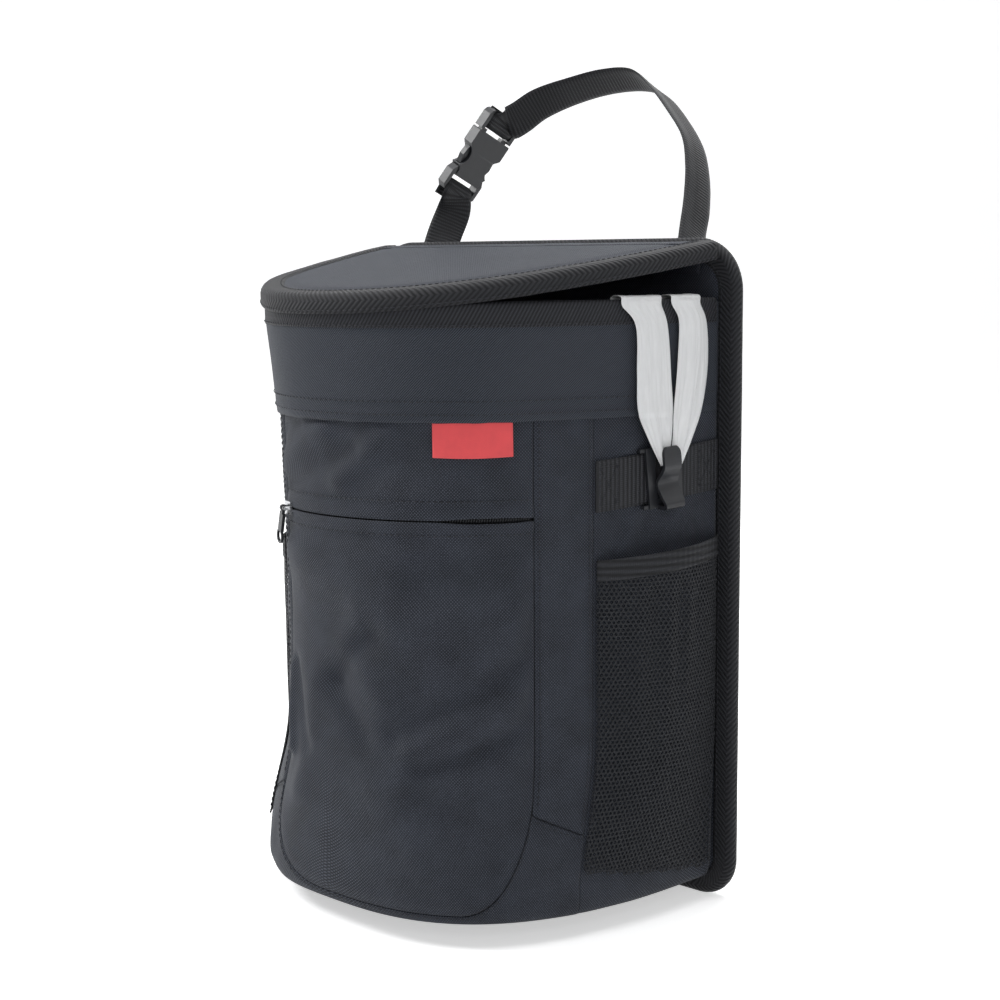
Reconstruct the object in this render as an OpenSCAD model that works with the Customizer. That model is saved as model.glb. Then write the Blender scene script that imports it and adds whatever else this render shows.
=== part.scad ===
// Soft car trash bin: a fabric tub on a padded back panel, with a sloping lid,
// a zipped front pocket, mesh side pockets, bag hooks and a buckled hanging strap.
// Millimetres. The origin is on the floor, under the middle of the outer box.

/* [Back panel] */
// Width of the back panel over its edge tape
panel_w = 263.4; // [250:0.2:290]
// Height of the back panel over its edge tape
panel_h = 337; // [332:1:370]
// Thickness of the padded back panel
panel_t = 7; // [6:0.5:12]
// Corner radius at the top of the back panel
panel_top_r = 26; // [18:1:40]
// Corner radius at the bottom of the back panel
panel_foot_r = 21; // [16:1:40]
// Width of the tape round the edge of the back panel
edge_tape_w = 11.5; // [8:0.5:11.5]
// Thickness of the edge tape
edge_tape_t = 1.2; // [0.8:0.1:1.5]

/* [Tub] */
// Distance from the edge of the back panel to the side of the tub
flange_w = 12.7; // [12.5:0.1:18]
// Depth of the tub at the rim, from the back panel to the front
tub_d = 164; // [150:1:185]
// Distance from the top of the back panel down to the rim of the tub
rim_drop = 29.3; // [25:0.1:37]
// Height of the underside of the tub
base_z = 10; // [6:0.5:14]
// Height of the collar band below the rim
collar_h = 55.7; // [45:0.1:70]
// How far each side of the tub goes in from the rim to the base
base_in = 3.5; // [1:0.5:9]
// How far the front of the tub goes in from the rim to the base
base_back = 6; // [0:1:14]
// Squareness of the plan at the base: 2 is an ellipse
base_square = 2.7; // [2:0.1:3.2]
// Size of the tub at mid height, as a share of its size at the rim
waist_k = 0.946; // [0.92:0.002:0.96]
// Thickness of the sewn fabric panels with their padding
cloth_t = 2; // [1.5:0.1:2.4]
// Gap kept between two sewn panels at a seam
seam_gap = 0.3; // [0.2:0.05:0.5]
// Height of the round at the bottom edge of the tub
foot_round_h = 12; // [8:1:16]
// How far the bottom edge goes in under the tub
foot_round_in = 6; // [4:0.5:8]

/* [Front] */
// Distance of the front pocket's right seam from where the front turns into the side
seam_before = 0.5; // [0.5:0.5:8]
// Place of the front pocket's left seam, along the tub's outline from its middle
seam_left = -44; // [-60:0.5:-36]
// Width of the strip panel beside each seam
strip_w = 32.5; // [24:0.5:36]
// Distance from the collar to the zip
zip_drop = 47; // [40:1:60]
// Width of the slot that the zip's coil shows in
zip_slot = 3.6; // [3.2:0.1:5]
// Width of the zip tape behind the slot
zip_tape_w = 17; // [14:1:24]
// Height at which the seams turn in towards the base
corner_z = 72; // [60:1:80]
// How far the front pocket's bottom corners turn in
corner_in = 44; // [34:1:48]
// Height of the front pocket's bottom seam
pocket_z = 16.5; // [15.5:0.5:20]
// Height of the join in each strip, at the front pocket's side
join_z = 62; // [56:1:66]
// Drop of the join in each strip, from its front to its back
join_drop = 12; // [6:1:16]

/* [Label] */
// Width of the bare label
label_w = 39; // [25:1:45]
// Height of the bare label
label_h = 16.5; // [10:0.5:20]
// Place of the label's left edge along the tub's outline
label_s = 64; // [40:1:66]

/* [Sides] */
// Width of the side webbing
web_w = 25; // [20:1:28]
// Thickness of the side webbing
web_t = 1.3; // [1:0.1:1.6]
// Distance from the collar to the middle of the webbing, at its front end
web_drop = 33.5; // [28:0.5:38]
// Rise of the webbing and of the pocket's elastic towards the back panel
web_rise = 7; // [0:0.5:9]
// Width of the mesh pocket's elastic
elastic_w = 10.5; // [8:0.5:14]
// Distance from the collar to the top of the elastic, at its front end
elastic_drop = 69; // [66:1:80]
// Height of the mesh pocket's bottom seam, at its front end
mesh_z = 34; // [26:1:40]
// Drop of the mesh pocket's bottom seam towards the back panel
mesh_drop = 14; // [6:1:18]
// How far the mesh pocket stands off the side at its mouth
mesh_bulge = 9; // [7:0.5:10]
// Thickness of the mesh and of the elastic
mesh_t = 1.1; // [0.8:0.1:1.4]

/* [Bag hooks] */
// Distance of each hook from the back panel, along the tub's outline
hook_back = 38.7; // [36:0.1:44]
// Length of the hook's plate along the webbing
hook_l = 20; // [18:1:24]
// Width of the hook's spring tongue
tongue_w = 12; // [10:0.5:13]
// Thickness of the hook's plate and tongue
hook_t = 1.9; // [1.5:0.1:2.2]
// How far the tongue's head stands off the plate
tongue_bow = 7; // [6.5:0.5:9]

/* [Lid] */
// How far the lid reaches past the rim of the tub
lid_over = 2.9; // [2.9:0.1:4]
// Thickness of the lid's panel
lid_t = 2; // [1.5:0.1:2.5]
// Depth of the lip round the lid
lip_h = 8; // [6.5:0.5:10]
// Width of the lid's tape on top
lid_tape_w = 12; // [9:0.5:16]
// Distance from the top of the back panel to the lid's hinge line
hinge_drop = 3.6; // [3.5:0.1:6]

/* [Rim] */
// Height of the tape over the rim
rim_tape_h = 12; // [9:0.5:14]
// Thickness of the tape over the rim
rim_tape_t = 1; // [0.8:0.1:1.1]

/* [Lining and bag] */
// Thickness of the leak-proof lining
lining_t = 1.2; // [1:0.1:1.6]
// Thickness of the stiffening board under the lining
board_t = 2; // [1.5:0.5:3]
// Thickness of the bag's film, with its wrinkles
film_t = 0.6; // [0.5:0.1:0.9]
// Height of the bag's edge below the rim
bag_drop = 16; // [15:1:60]
// Width of the handle's front leg where it goes over the rim
handle_w = 25.5; // [16:0.5:28]

/* [Hanging strap] */
// Width of the strap
strap_w = 20; // [16:0.5:20]
// Thickness of the strap
strap_t = 1.5; // [1.2:0.1:1.8]
// Length of strap sewn behind the back panel at each end
strap_sewn = 40; // [25:1:60]
// Width of the buckle
buckle_w = 25.5; // [25:0.5:30]
// Thickness of the buckle
buckle_t = 8; // [8:0.5:10]
// Backward lean of the buckle on the hanging strap
buckle_lean = 23; // [18:1:28]
// Sideways tilt of the buckle on the hanging strap
buckle_tilt = 27; // [22:1:32]

/* [Hidden] */
fine = 48;

// Air left between neighbouring solids
air = 0.3;
black = "#23252a";
cloth_colour = "#2b2e35";
tape_colour = "#1d1f23";
web_colour = "#1f2125";
film_colour = "#e9edf2";
label_colour = "#e4505a";
plastic_colour = "#2a2b2f";
metal_colour = "#9aa0a8";
deg = 180 / PI;

// Plan of the tub: a front arc and two flat side arcs, tangent to each other
half_w = panel_w / 2 - flange_w;
rim_z = panel_h - rim_drop;
base_half_w = half_w - base_in;
base_d = tub_d - base_back;
front_turn = 65.4;
side_bow = 9.83;
chord_slope = tan(front_turn + side_bow);
front_r = (half_w * chord_slope - tub_d) / (chord_slope * sin(front_turn) - 1 + cos(front_turn));
front_c = tub_d - front_r;
arc_end = [front_r * sin(front_turn), -front_c - front_r * cos(front_turn)];
side_r = norm([half_w, 0] - arc_end) / (2 * sin(side_bow));
side_c = arc_end - side_r * [sin(front_turn), -cos(front_turn)];
front_len = front_r * front_turn / deg;
seam_right = front_len - seam_before;
half_len = front_len + side_r * 2 * side_bow / deg;
side_end = half_len - 0.6;

collar_z = rim_z - collar_h;
collar_k = waist_k + 0.025;
zip_z = collar_z - zip_drop;
zip_r = front_r * tub_k(zip_z);
zip_c = front_c * tub_k(zip_z);
wall_top = collar_z - seam_gap;
wall_low = base_z + 2;
wall_high = rim_z - rim_tape_t - 1.1;
rim_grip = 0.4;
side_from = seam_right + strip_w;
side_left = seam_left - strip_w;
lining_in = cloth_t + air + 1.2 + 2 * air;

// Hinge line of the lid, and the slope that lays the lid on the rim at the front
hinge_y = -2.6;
hinge_z = panel_h - hinge_drop;
lid_front = tub_d + lid_over;
lid_drop = hinge_z + 0.5 * lid_t - (rim_z + air + lid_t);
lid_slope = lid_drop / (lid_front + hinge_y);
lid_angle = atan(lid_slope);
lid_back = hinge_y - 0.9;
lip_t = lid_over - rim_tape_t - 0.15 - air;

// Padding pressed down under and beside the stitched ends of the strap
strap_press = 0.5;
strap_room = 1.8;
strap_x = [-93, 92];

// Middle of the buckle from the top of the back panel's rear face, and its own axes
buckle_mid = [-83.2, 30, 48.2];
buckle_way = [sin(buckle_tilt), cos(buckle_tilt) * sin(buckle_lean), cos(buckle_tilt) * cos(buckle_lean)];
buckle_across = [0, cos(buckle_lean), -sin(buckle_lean)];
socket_low = -24.5;
socket_top = 15;
socket_bar = -21.2;
plug_low = socket_top + 1;
plug_bar = 21.5;
plug_end = 28.7;
bar_w = 3.2;

// Webbing folded round a bar of the buckle: across the fold to the rear, then along it from the bar
fold_points = [[2.6, 8.2], [2.9, 4.5], [3.35, 0.6], [2.45, -2.3], [0, -3.35], [-2.45, -2.3], [-3.35, 0.6], [-3.6, 3.8]];
buckle_rear = cross(buckle_way, buckle_across);
function fold(bar, way) = [for (q = fold_points)
    [buckle_mid + buckle_way * (bar + way * q[1]) + buckle_rear * q[0], buckle_across]];

// Last stretch of a strap, sewn on where the padding is pressed down
function sewn_end(x) = [[[x, 1.3, -33], [1, 0, 0]], [[x, 0.6, -strap_sewn], [1, 0, 0]],
    [[x, 0.6, -strap_sewn - 10], [1, 0, 0]]];

// Middle line of the long strap from the buckle over to the right: place, then the way its width lies
long_line = concat(fold(plug_bar, 1),
    [[[-65.5, 39.5, 67.5], [0.1, 0.65, -0.75]], [[-61.5, 44.5, 71], [0.05, 0.6, -0.8]],
    [[-53.5, 52.5, 78.5], [-0.05, 0.65, -0.75]], [[-38, 62, 85], [-0.15, 0.75, -0.65]],
    [[-18.5, 70, 89.5], [-0.15, 0.75, -0.6]], [[2, 73, 89], [-0.05, 0.8, -0.55]], [[19.5, 70.5, 80.5], [0.05, 0.95, -0.35]],
    [[36, 65.5, 67], [0.05, 0.95, -0.3]], [[51, 59.5, 51.5], [0.05, 0.95, -0.35]], [[61.5, 50, 35], [0.15, 0.9, -0.45]],
    [[69.5, 39, 18.5], [0.2, 0.85, -0.5]], [[76, 27.5, 4], [0.2, 0.8, -0.55]], [[84, 18, -7.5], [0.55, 0.75, -0.4]],
    [[89.5, 9.5, -17], [0.85, 0.5, -0.2]], [[91.6, 3.6, -25.5], [1, 0.12, 0]]], sewn_end(strap_x[1]));
short_fold = fold(socket_bar, -1);
short_line = concat([for (i = [2:-1:0]) sewn_end(strap_x[0])[i]], [[[-94, 4.6, -19], [1, 0.12, 0]],
    [[-95.5, 9.5, -7], [0.9, 0.4, -0.15]], [[-95.5, 16, 6], [0.7, 0.65, -0.3]], [[-94, 21, 17.5], [0.5, 0.8, -0.35]]],
    [for (i = [len(short_fold) - 1:-1:0]) short_fold[i]]);
strap_rings = ribbon(long_line);
back_reach = panel_t + max([for (ring = strap_rings) for (p = ring) p.y]);
front_reach = lid_front;
mid_y = (front_reach - back_reach) / 2;

function smooth(a, b, x) = let (t = min(1, max(0, (x - a) / (b - a)))) t * t * (3 - 2 * t);
function mix(a, b, t) = a + (b - a) * t;
function side_sign(s) = s < 0 ? -1 : 1;

// Point of the rim's plan at a distance s along it from the middle of the front
function plan(s) = let (a = abs(s),
        on_front = a <= front_len,
        g = on_front ? a / front_r * deg : front_turn + (a - front_len) / side_r * deg,
        c = on_front ? [0, -front_c] : side_c,
        r = on_front ? front_r : side_r)
    [side_sign(s) * (c.x + r * sin(g)), c.y - r * cos(g)];

// Squarer plan of the base, at the same distance along
function base_plan(s) = let (p = plan(s),
        t = atan2(abs(p.x) / half_w, max(0, -p.y / tub_d)),
        wide = base_half_w + (half_w - 0.5 - base_half_w) * to_back(s))
    [side_sign(s) * wide * pow(sin(t), 2 / base_square), -base_d * pow(cos(t), 2 / base_square)];

// Zero on the front arc, one at the back panel
function to_back(s) = smooth(front_len, half_len, abs(s));

// Size of the tub's section at height z, as a share of the rim's
function tub_k(z) = lookup(z, [[base_z, waist_k + 0.004], [rim_z - 198, waist_k + 0.001],
    [rim_z - 168, waist_k - 0.002], [rim_z - 108, waist_k + 0.001], [rim_z - 58, waist_k + 0.011]]);

function scaled(p, k, s) = [p.x * mix(k, 0.996, to_back(s)), p.y * k];

// Outer surface of the tub below the collar
function skin(s, z) = let (square = 1 - smooth(base_z + 12, base_z + 85, z))
    mix(scaled(plan(s), tub_k(z), s), base_plan(s), square);

// Outer surface of the collar
function collar_skin(s, z) = scaled(plan(s), lookup(z, [[collar_z, collar_k], [rim_z - 12, 1]]), s);

// Rounding of the tub's bottom edge
function foot_in(z) = let (h = max(0, base_z + foot_round_h - z) / foot_round_h)
    foot_round_in * (1 - sqrt(max(0, 1 - h * h)));

// Point moved out from a surface by o, where a and b are its neighbours along s
function moved(p, a, b, o, z) = let (d = (b - a) / norm(b - a)) [p.x + d.y * o, p.y - d.x * o, z];
function tub(s, z, o) = moved(skin(s, z), skin(s - 0.3, z), skin(s + 0.3, z), o - foot_in(z), z);
function collar(s, z, o) = moved(collar_skin(s, z), collar_skin(s - 0.3, z), collar_skin(s + 0.3, z), o, z);
function spread(a, b, n) = [for (i = [0:n]) mix(a, b, i / n)];

// Height of the lid's top over a point of the plan
function lid_top(y) = hinge_z + 0.5 * lid_t - lid_slope * (hinge_y - y);

// Closed sheet between an outer and an inner grid of points
module sheet(o, i, ring = false) {
    m = len(o);
    n = len(o[0]);
    k = m * n;
    last = ring ? n - 1 : n - 2;
    outer = [for (a = [0:m - 2]) for (b = [0:last]) let (c = (b + 1) % n)
        each [[a * n + b, (a + 1) * n + b, (a + 1) * n + c], [a * n + b, (a + 1) * n + c, a * n + c]]];
    inner = [for (f = outer) [f[0] + k, f[2] + k, f[1] + k]];
    low = [for (b = [0:last]) let (c = (b + 1) % n) each [[b, c, k + c], [b, k + c, k + b]]];
    t = (m - 1) * n;
    high = [for (b = [0:last]) let (c = (b + 1) % n)
        each [[t + c, t + b, k + t + b], [t + c, k + t + b, k + t + c]]];
    left = [for (a = [0:m - 2]) let (p = a * n, q = p + n) each [[q, p, k + p], [q, k + p, k + q]]];
    right = [for (a = [0:m - 2]) let (p = a * n + n - 1, q = p + n) each [[p, q, k + q], [p, k + q, k + p]]];
    points = concat([for (r = o) each r], [for (r = i) each r]);
    polyhedron(points, ring ? concat(outer, inner, low, high) : concat(outer, inner, low, high, left, right));
}

// Ribbon through rings of four points, split the same way on both of its wide faces, with flat ends
module loft(rings) {
    m = len(rings);
    sides = [for (a = [0:4:4 * m - 8]) for (b = [0:3]) let (c = (b + 1) % 4)
        each b < 2 ? [[a + b, a + 4 + b, a + 4 + c], [a + b, a + 4 + c, a + c]]
            : [[a + b, a + 4 + b, a + c], [a + 4 + b, a + 4 + c, a + c]]];
    t = 4 * m - 4;
    ends = [[0, 1, 2], [0, 2, 3], [t + 2, t + 1, t], [t + 3, t + 2, t]];
    polyhedron([for (r = rings) each r], concat(sides, ends));
}

// Sewn panel on the tub between two seams, with its own top and bottom lines
module tub_panel(s0, s1, cols, rows, low, high, out, t) {
    ss = spread(s0, s1, cols);
    sheet([for (j = [0:rows]) [for (s = ss) tub(s, mix(low(s), high(s), j / rows), out(s, j / rows))]],
        [for (j = [0:rows]) [for (s = ss) tub(s, mix(low(s), high(s), j / rows), out(s, j / rows) - t)]]);
}

module placed() {
    translate([0, mid_y, 0]) children();
}

// Rounded rectangle of the back panel, inset from its edge, clockwise from the top left
function corner_arc(c, r, from, n) = [for (i = [0:n]) let (g = from - 90 * i / n) c + r * [cos(g), sin(g)]];
function panel_outline(inset, n = 8) = let (w = panel_w / 2, rt = panel_top_r, rf = panel_foot_r)
    concat(corner_arc([-w + rt, panel_h - rt], rt - inset, 180, n),
        corner_arc([w - rt, panel_h - rt], rt - inset, 90, n),
        corner_arc([w - rf, rf], rf - inset, 0, n),
        corner_arc([-w + rf, rf], rf - inset, -90, n));

module upright_plate(y0, y1) {
    translate([0, y1, 0]) rotate([90, 0, 0]) linear_extrude(y1 - y0) children();
}

// Padded board that carries everything, thinner where the tape holds its edge
module back_panel() {
    color(cloth_colour) placed() difference() {
        union() {
            upright_plate(0, panel_t) polygon(panel_outline(edge_tape_w + air));
            upright_plate(edge_tape_t + air, panel_t - edge_tape_t - air)
                polygon(panel_outline(edge_tape_t + 1));
        }
        for (x = strap_x)
            translate([x - strap_w / 2 - strap_room, panel_t - strap_press, panel_h - strap_sewn - 10 - air])
                cube([strap_w + 2 * strap_room, 2, strap_sewn]);
    }
}

// Tape folded round the edge of the back panel
module back_binding() {
    t = edge_tape_t;
    outer = [[edge_tape_w, 0], [2.6, 0], [0.8, 0.9], [0, panel_t / 2],
        [0.8, panel_t - 0.9], [2.6, panel_t], [edge_tape_w, panel_t]];
    inner = [[edge_tape_w, t], [3, t], [t + 0.5, t + 0.4], [t, panel_t / 2],
        [t + 0.5, panel_t - t - 0.4], [3, panel_t - t], [edge_tape_w, panel_t - t]];
    color(tape_colour) placed()
        sheet([for (p = outer) [for (q = panel_outline(p.x)) [q.x, p.y, q.y]]],
            [for (p = inner) [for (q = panel_outline(p.x)) [q.x, p.y, q.y]]], ring = true);
}

// Twill band round the mouth of the tub
module collar_band() {
    ss = spread(-side_end, side_end, 44);
    zs = [collar_z, collar_z + 4, rim_z - 28, rim_z - 12, wall_high];
    color(tape_colour) placed()
        sheet([for (z = zs) [for (s = ss) collar(s, z, 0)]], [for (z = zs) [for (s = ss) collar(s, z, -cloth_t)]]);
}

// Tape folded over the rim, holding the collar and the lining between its two legs
module rim_binding() {
    ss = spread(-side_end + 2, side_end - 2, 44);
    t = rim_tape_t;
    o = 0.15;
    i = -cloth_t - air - lining_t - rim_grip;
    low = rim_z - rim_tape_h;
    outer = [[o + t, low], [o + t, rim_z - 1.6], [o + t - 1.2, rim_z], [i - t + 1.2, rim_z],
        [i - t, rim_z - 1.6], [i - t, low]];
    inner = [[o, low], [o, rim_z - 1.8], [o - 0.7, rim_z - t], [i + 0.7, rim_z - t], [i, rim_z - 1.8], [i, low]];
    color(tape_colour) placed()
        sheet([for (p = outer) [for (s = ss) collar(s, p.y, p.x)]],
            [for (p = inner) [for (s = ss) collar(s, p.y, p.x)]]);
}

// Lower seam line of the front pocket: level in the middle, turning up into the side seams
function turn_in(d) = let (h = min(1, max(0, 1 - d / corner_in))) corner_z - (corner_z - pocket_z) * sqrt(1 - h * h);
function pocket_low(s) = turn_in(min(seam_right - s, s - seam_left));
function join_low(s) = let (d = max(s - seam_right, seam_left - s)) join_z - join_drop * d / strip_w;
function web_line(s) = web_rise * (abs(s) - side_from) / (half_len - side_from);
function side_web(s) = s < 0 ? web_rise * max(0, (abs(s) - side_from)) / (half_len - side_from) : web_line(s);

module front_upper_panel() {
    color(cloth_colour) placed()
        tub_panel(seam_left + seam_gap / 2, seam_right - seam_gap / 2, 22, 4,
            function (s) zip_z + zip_slot / 2, function (s) wall_top, function (s, t) 0, cloth_t);
}

module front_pocket_panel() {
    g = seam_gap / 2;
    corner = [0.0, 0.7, 2.7, 6, 10.5, 16, 22, 29, 36, 43.5];
    k = (corner_in - 1) / 43.5;
    ss = concat([for (c = corner) seam_left + g + c * k],
        spread(seam_left + corner_in + 6, seam_right - corner_in - 6, 8),
        [for (j = [len(corner) - 1:-1:0]) seam_right - g - corner[j] * k]);
    zs = [0, 0.06, 0.14, 0.24, 0.36, 0.5, 0.66, 0.83, 1];
    high = zip_z - zip_slot / 2;
    color(cloth_colour) placed()
        sheet([for (f = zs) [for (s = ss) tub(s, mix(pocket_low(s), high, f), 0)]],
            [for (f = zs) [for (s = ss) tub(s, mix(pocket_low(s), high, f), -cloth_t)]]);
}

// Arc of the zip: a flat ring sector about the front arc's own axis
module zip_sector(r0, r1, h, s0, s1) {
    a0 = s0 / front_r * deg;
    a1 = s1 / front_r * deg;
    translate([0, -zip_c, zip_z - h / 2]) rotate([0, 0, a0 - 90])
        rotate_extrude(angle = a1 - a0, $fn = 120) translate([r0, 0]) square([r1 - r0, h]);
}

module zip_tape() {
    back = zip_r - cloth_t - air - 1.2;
    color(tape_colour) placed()
        zip_sector(back, back + 1.2, zip_tape_w, seam_left + 1, seam_right - 1);
}

// Closed coil of the zip, as one plain cord in the slot
module zip_coil() {
    color(black) placed()
        zip_sector(zip_r - cloth_t - 0.1, zip_r - 0.5, zip_slot - 1, seam_left + 1.5, seam_right - 1.5);
}

slider_s = seam_left + 7;
bar_r = 0.65;
bar_out = 3.4;
eye_r = 1.65;

// Local frame on the zip's arc: x along the zip, y out of the cloth, z up
module on_zip(s) {
    translate([0, -zip_c, zip_z]) rotate([0, 0, s / front_r * deg]) translate([0, -zip_r, 0])
        rotate([0, 0, 0]) children();
}

module zip_slider() {
    color(metal_colour) placed() on_zip(slider_s) {
        translate([-4.5, -1.4, -3.2]) cube([9, 1.1, 6.4]);
        for (x = [-3.6, 2.5]) translate([x, -bar_out - bar_r, -0.8]) cube([1.1, bar_out + bar_r - 1.4, 1.6]);
        translate([-3.6, -bar_out, 0]) rotate([0, 90, 0]) cylinder(r = bar_r, h = 7.2, $fn = fine);
    }
}

pull_lean = 22;
pull_l = 13;

// Black tab with an open ring at its end, hung on the slider's bar by its eye
module zip_pull() {
    color(black) placed() on_zip(slider_s) translate([0, -bar_out, 0]) difference() {
        union() {
            translate([-1.1, 0, 0]) rotate([0, 90, 0]) cylinder(r = eye_r, h = 2.2, $fn = fine);
            rotate([0, pull_lean, 0]) {
                translate([-1.1, -0.8, -3.4]) cube([2.2, 1.6, 2.4]);
                translate([-2.4, -0.8, -pull_l]) cube([4.8, 1.6, pull_l - 3]);
                translate([0, 0.6, -pull_l - 3.2]) rotate([90, 0, 0]) difference() {
                    cylinder(r = 3.8, h = 1.2, $fn = fine);
                    translate([0, 0, -1]) cylinder(r = 2.7, h = 4, $fn = fine);
                }
            }
        }
        translate([-5, 0, 0]) rotate([0, 90, 0]) cylinder(r = bar_r + 0.35, h = 10, $fn = fine);
    }
}

module strip(s0, s1) {
    color(cloth_colour) placed()
        tub_panel(s0 + seam_gap / 2, s1 - seam_gap / 2, 4, 9, function (s) join_low(s) + seam_gap,
            function (s) wall_top, function (s, t) 0, cloth_t);
}

module strip_right() {
    strip(seam_right, side_from);
}

module strip_left() {
    strip(side_left, seam_left);
}

// One piece of cloth that joins both strips under the front pocket
module base_gusset() {
    g = seam_gap / 2;
    corner = [1.2, 2.9, 6, 10.5, 16, 22, 29, 36, 43.5];
    k = (corner_in - 1) / 43.5;
    n = len(corner) - 1;
    ss = concat(spread(side_left + g, seam_left - 0.2, 4), [for (c = corner) seam_left + c * k],
        spread(seam_left + corner_in + 6, seam_right - corner_in - 6, 8),
        [for (j = [n:-1:0]) seam_right - corner[j] * k], spread(seam_right + 0.2, side_from - g, 4));
    color(cloth_colour) placed()
        sheet([for (f = [0, 0.25, 0.6, 1]) [for (s = ss) tub(s, mix(wall_low, gusset_top(s), f), 0)]],
            [for (f = [0, 0.25, 0.6, 1]) [for (s = ss) tub(s, mix(wall_low, gusset_top(s), f), -cloth_t)]]);
}

function gusset_top(s) = s > seam_right || s < seam_left ? join_low(s)
    : min(join_z, pocket_low(s) - max(0.6, 2.4 - 0.16 * min(seam_right - s, s - seam_left)));

// Flat underside, inside the round of the bottom edge
module base_panel() {
    ss = spread(-side_end, side_end, 48);
    color(cloth_colour) placed() translate([0, 0, base_z]) linear_extrude(wall_low - air - base_z)
        polygon([for (s = ss) let (p = tub(s, base_z + foot_round_h, -foot_round_in + 1)) [p.x, min(-0.4, p.y)]]);
}

module side_panel_right() {
    color(cloth_colour) placed()
        tub_panel(side_from + seam_gap / 2, side_end, 8, 12, function (s) wall_low,
            function (s) wall_top, function (s, t) 0, cloth_t);
}

module side_panel_left() {
    color(cloth_colour) placed()
        tub_panel(-side_end, side_left - seam_gap / 2, 14, 12, function (s) wall_low,
            function (s) wall_top, function (s, t) 0, cloth_t);
}

// Side pocket: how far it stands off, and its bottom, elastic and webbing lines
function pocket_off(s, s0, s1, t) = let (u = (s - s0) / (s1 - s0))
    mesh_t + air + mesh_bulge * pow(max(0, sin(180 * u)), 0.8) * sin(90 * t);
function mesh_low(s) = mesh_z - mesh_drop * max(0, abs(s) - side_from) / (half_len - side_from);
function elastic_low(s) = collar_z - elastic_drop - elastic_w + side_web(s);

module mesh_pocket(s0, s1, cols) {
    color(black) placed()
        tub_panel(s0, s1, cols, 7, function (s) mesh_low(s), function (s) elastic_low(s) - 0.2,
            function (s, t) pocket_off(s, s0, s1, t), mesh_t);
}

module pocket_elastic(s0, s1, cols) {
    color(tape_colour) placed()
        tub_panel(s0, s1, cols, 1, function (s) elastic_low(s), function (s) elastic_low(s) + elastic_w,
            function (s, t) pocket_off(s, s0, s1, 1) + 0.3, mesh_t + 0.3);
}

module mesh_pocket_right() {
    mesh_pocket(side_from + 1, side_end - 0.8, 12);
}

module mesh_pocket_left() {
    mesh_pocket(-side_end + 0.8, side_left - 1, 18);
}

module pocket_elastic_right() {
    pocket_elastic(side_from + 1, side_end - 0.8, 12);
}

module pocket_elastic_left() {
    pocket_elastic(-side_end + 0.8, side_left - 1, 18);
}

function web_mid(s) = collar_z - web_drop + side_web(s);

module hook_webbing(s0, s1, cols) {
    color(web_colour) placed()
        tub_panel(s0, s1, cols, 1, function (s) web_mid(s) - web_w / 2,
            function (s) web_mid(s) + web_w / 2, function (s, t) air + web_t, web_t);
}

module hook_webbing_right() {
    hook_webbing(side_from + 1, side_end - 0.3, 10);
}

module hook_webbing_left() {
    hook_webbing(-side_end + 0.3, side_left - 1, 18);
}

// Local frame of the right hook: x out from the cloth, y along the webbing to the back, z up it
hook_s = half_len - hook_back;
hook_at = tub(hook_s, web_mid(hook_s), 0);
hook_way = let (a = tub(hook_s - 10, web_mid(hook_s - 10), 0), b = tub(hook_s + 10, web_mid(hook_s + 10), 0)) b - a;
hook_turn = atan2(hook_way.y, hook_way.x) - 90;
hook_tilt = atan2(hook_way.z, norm([hook_way.x, hook_way.y]));

// Front face of the hook's plate, from the cloth
hook_front = web_t + 2 * air + hook_t;

// Spring tongue's side outline: foot, bow in to the closure and flared head
tongue_path = let (b = tongue_bow, h = web_w / 2)
    [for (p = [[0.8, -h - 2.1], [0.97, -h - 0.5], [0.6, -h + 3.5], [0.19, -h + 8.5], [0.32, -h + 12],
        [0.72, -h + 15.5], [0.97, -h + 18], [1, -h + 21.5], [0.98, -h + 25], [0.94, -h + 28.5]]) [hook_front + p.x * b, p.y]];

// Outline of a strip of thickness t whose middle line goes through the given points
function band(path, t) = let (n = len(path) - 1,
        side = [for (i = [0:n]) let (a = path[max(0, i - 1)], b = path[min(n, i + 1)], d = (b - a) / norm(b - a))
            [-d.y, d.x] * t / 2])
    concat([for (i = [0:n]) path[i] + side[i]], [for (i = [n:-1:0]) path[i] - side[i]]);

// Points between hand-set ones on a smooth curve through them
function curve(p, n) = [for (i = [0:len(p) - 2]) let (a = p[max(0, i - 1)], b = p[i], c = p[i + 1],
        d = p[min(len(p) - 1, i + 2)]) for (j = [0:n - 1]) let (t = j / n)
            0.5 * (2 * b + (c - a) * t + (2 * a - 5 * b + 4 * c - d) * t * t + (3 * b - a - 3 * c + d) * t * t * t)];

module hook_plate() {
    front = web_t + 2 * air;
    h = web_w / 2 + air;
    lip = 2;
    window = tongue_w / 2 - 0.8;
    difference() {
        translate([front, -hook_l / 2, -h - lip]) cube([hook_t, hook_l, 2 * h + 2 * lip]);
        translate([front - 1, -window, -h + 3]) cube([hook_t + 2, 2 * window, 2 * h - 5]);
    }
    for (z = [-h - lip, h]) translate([0.15, -hook_l / 2, z]) cube([front + 0.35, hook_l, lip]);
    for (z = [-h - lip, h + 0.2]) translate([0.2, -hook_l / 2 - 2.9, z]) cube([front + 0.9, 3.1, lip - 0.2]);
}

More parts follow.
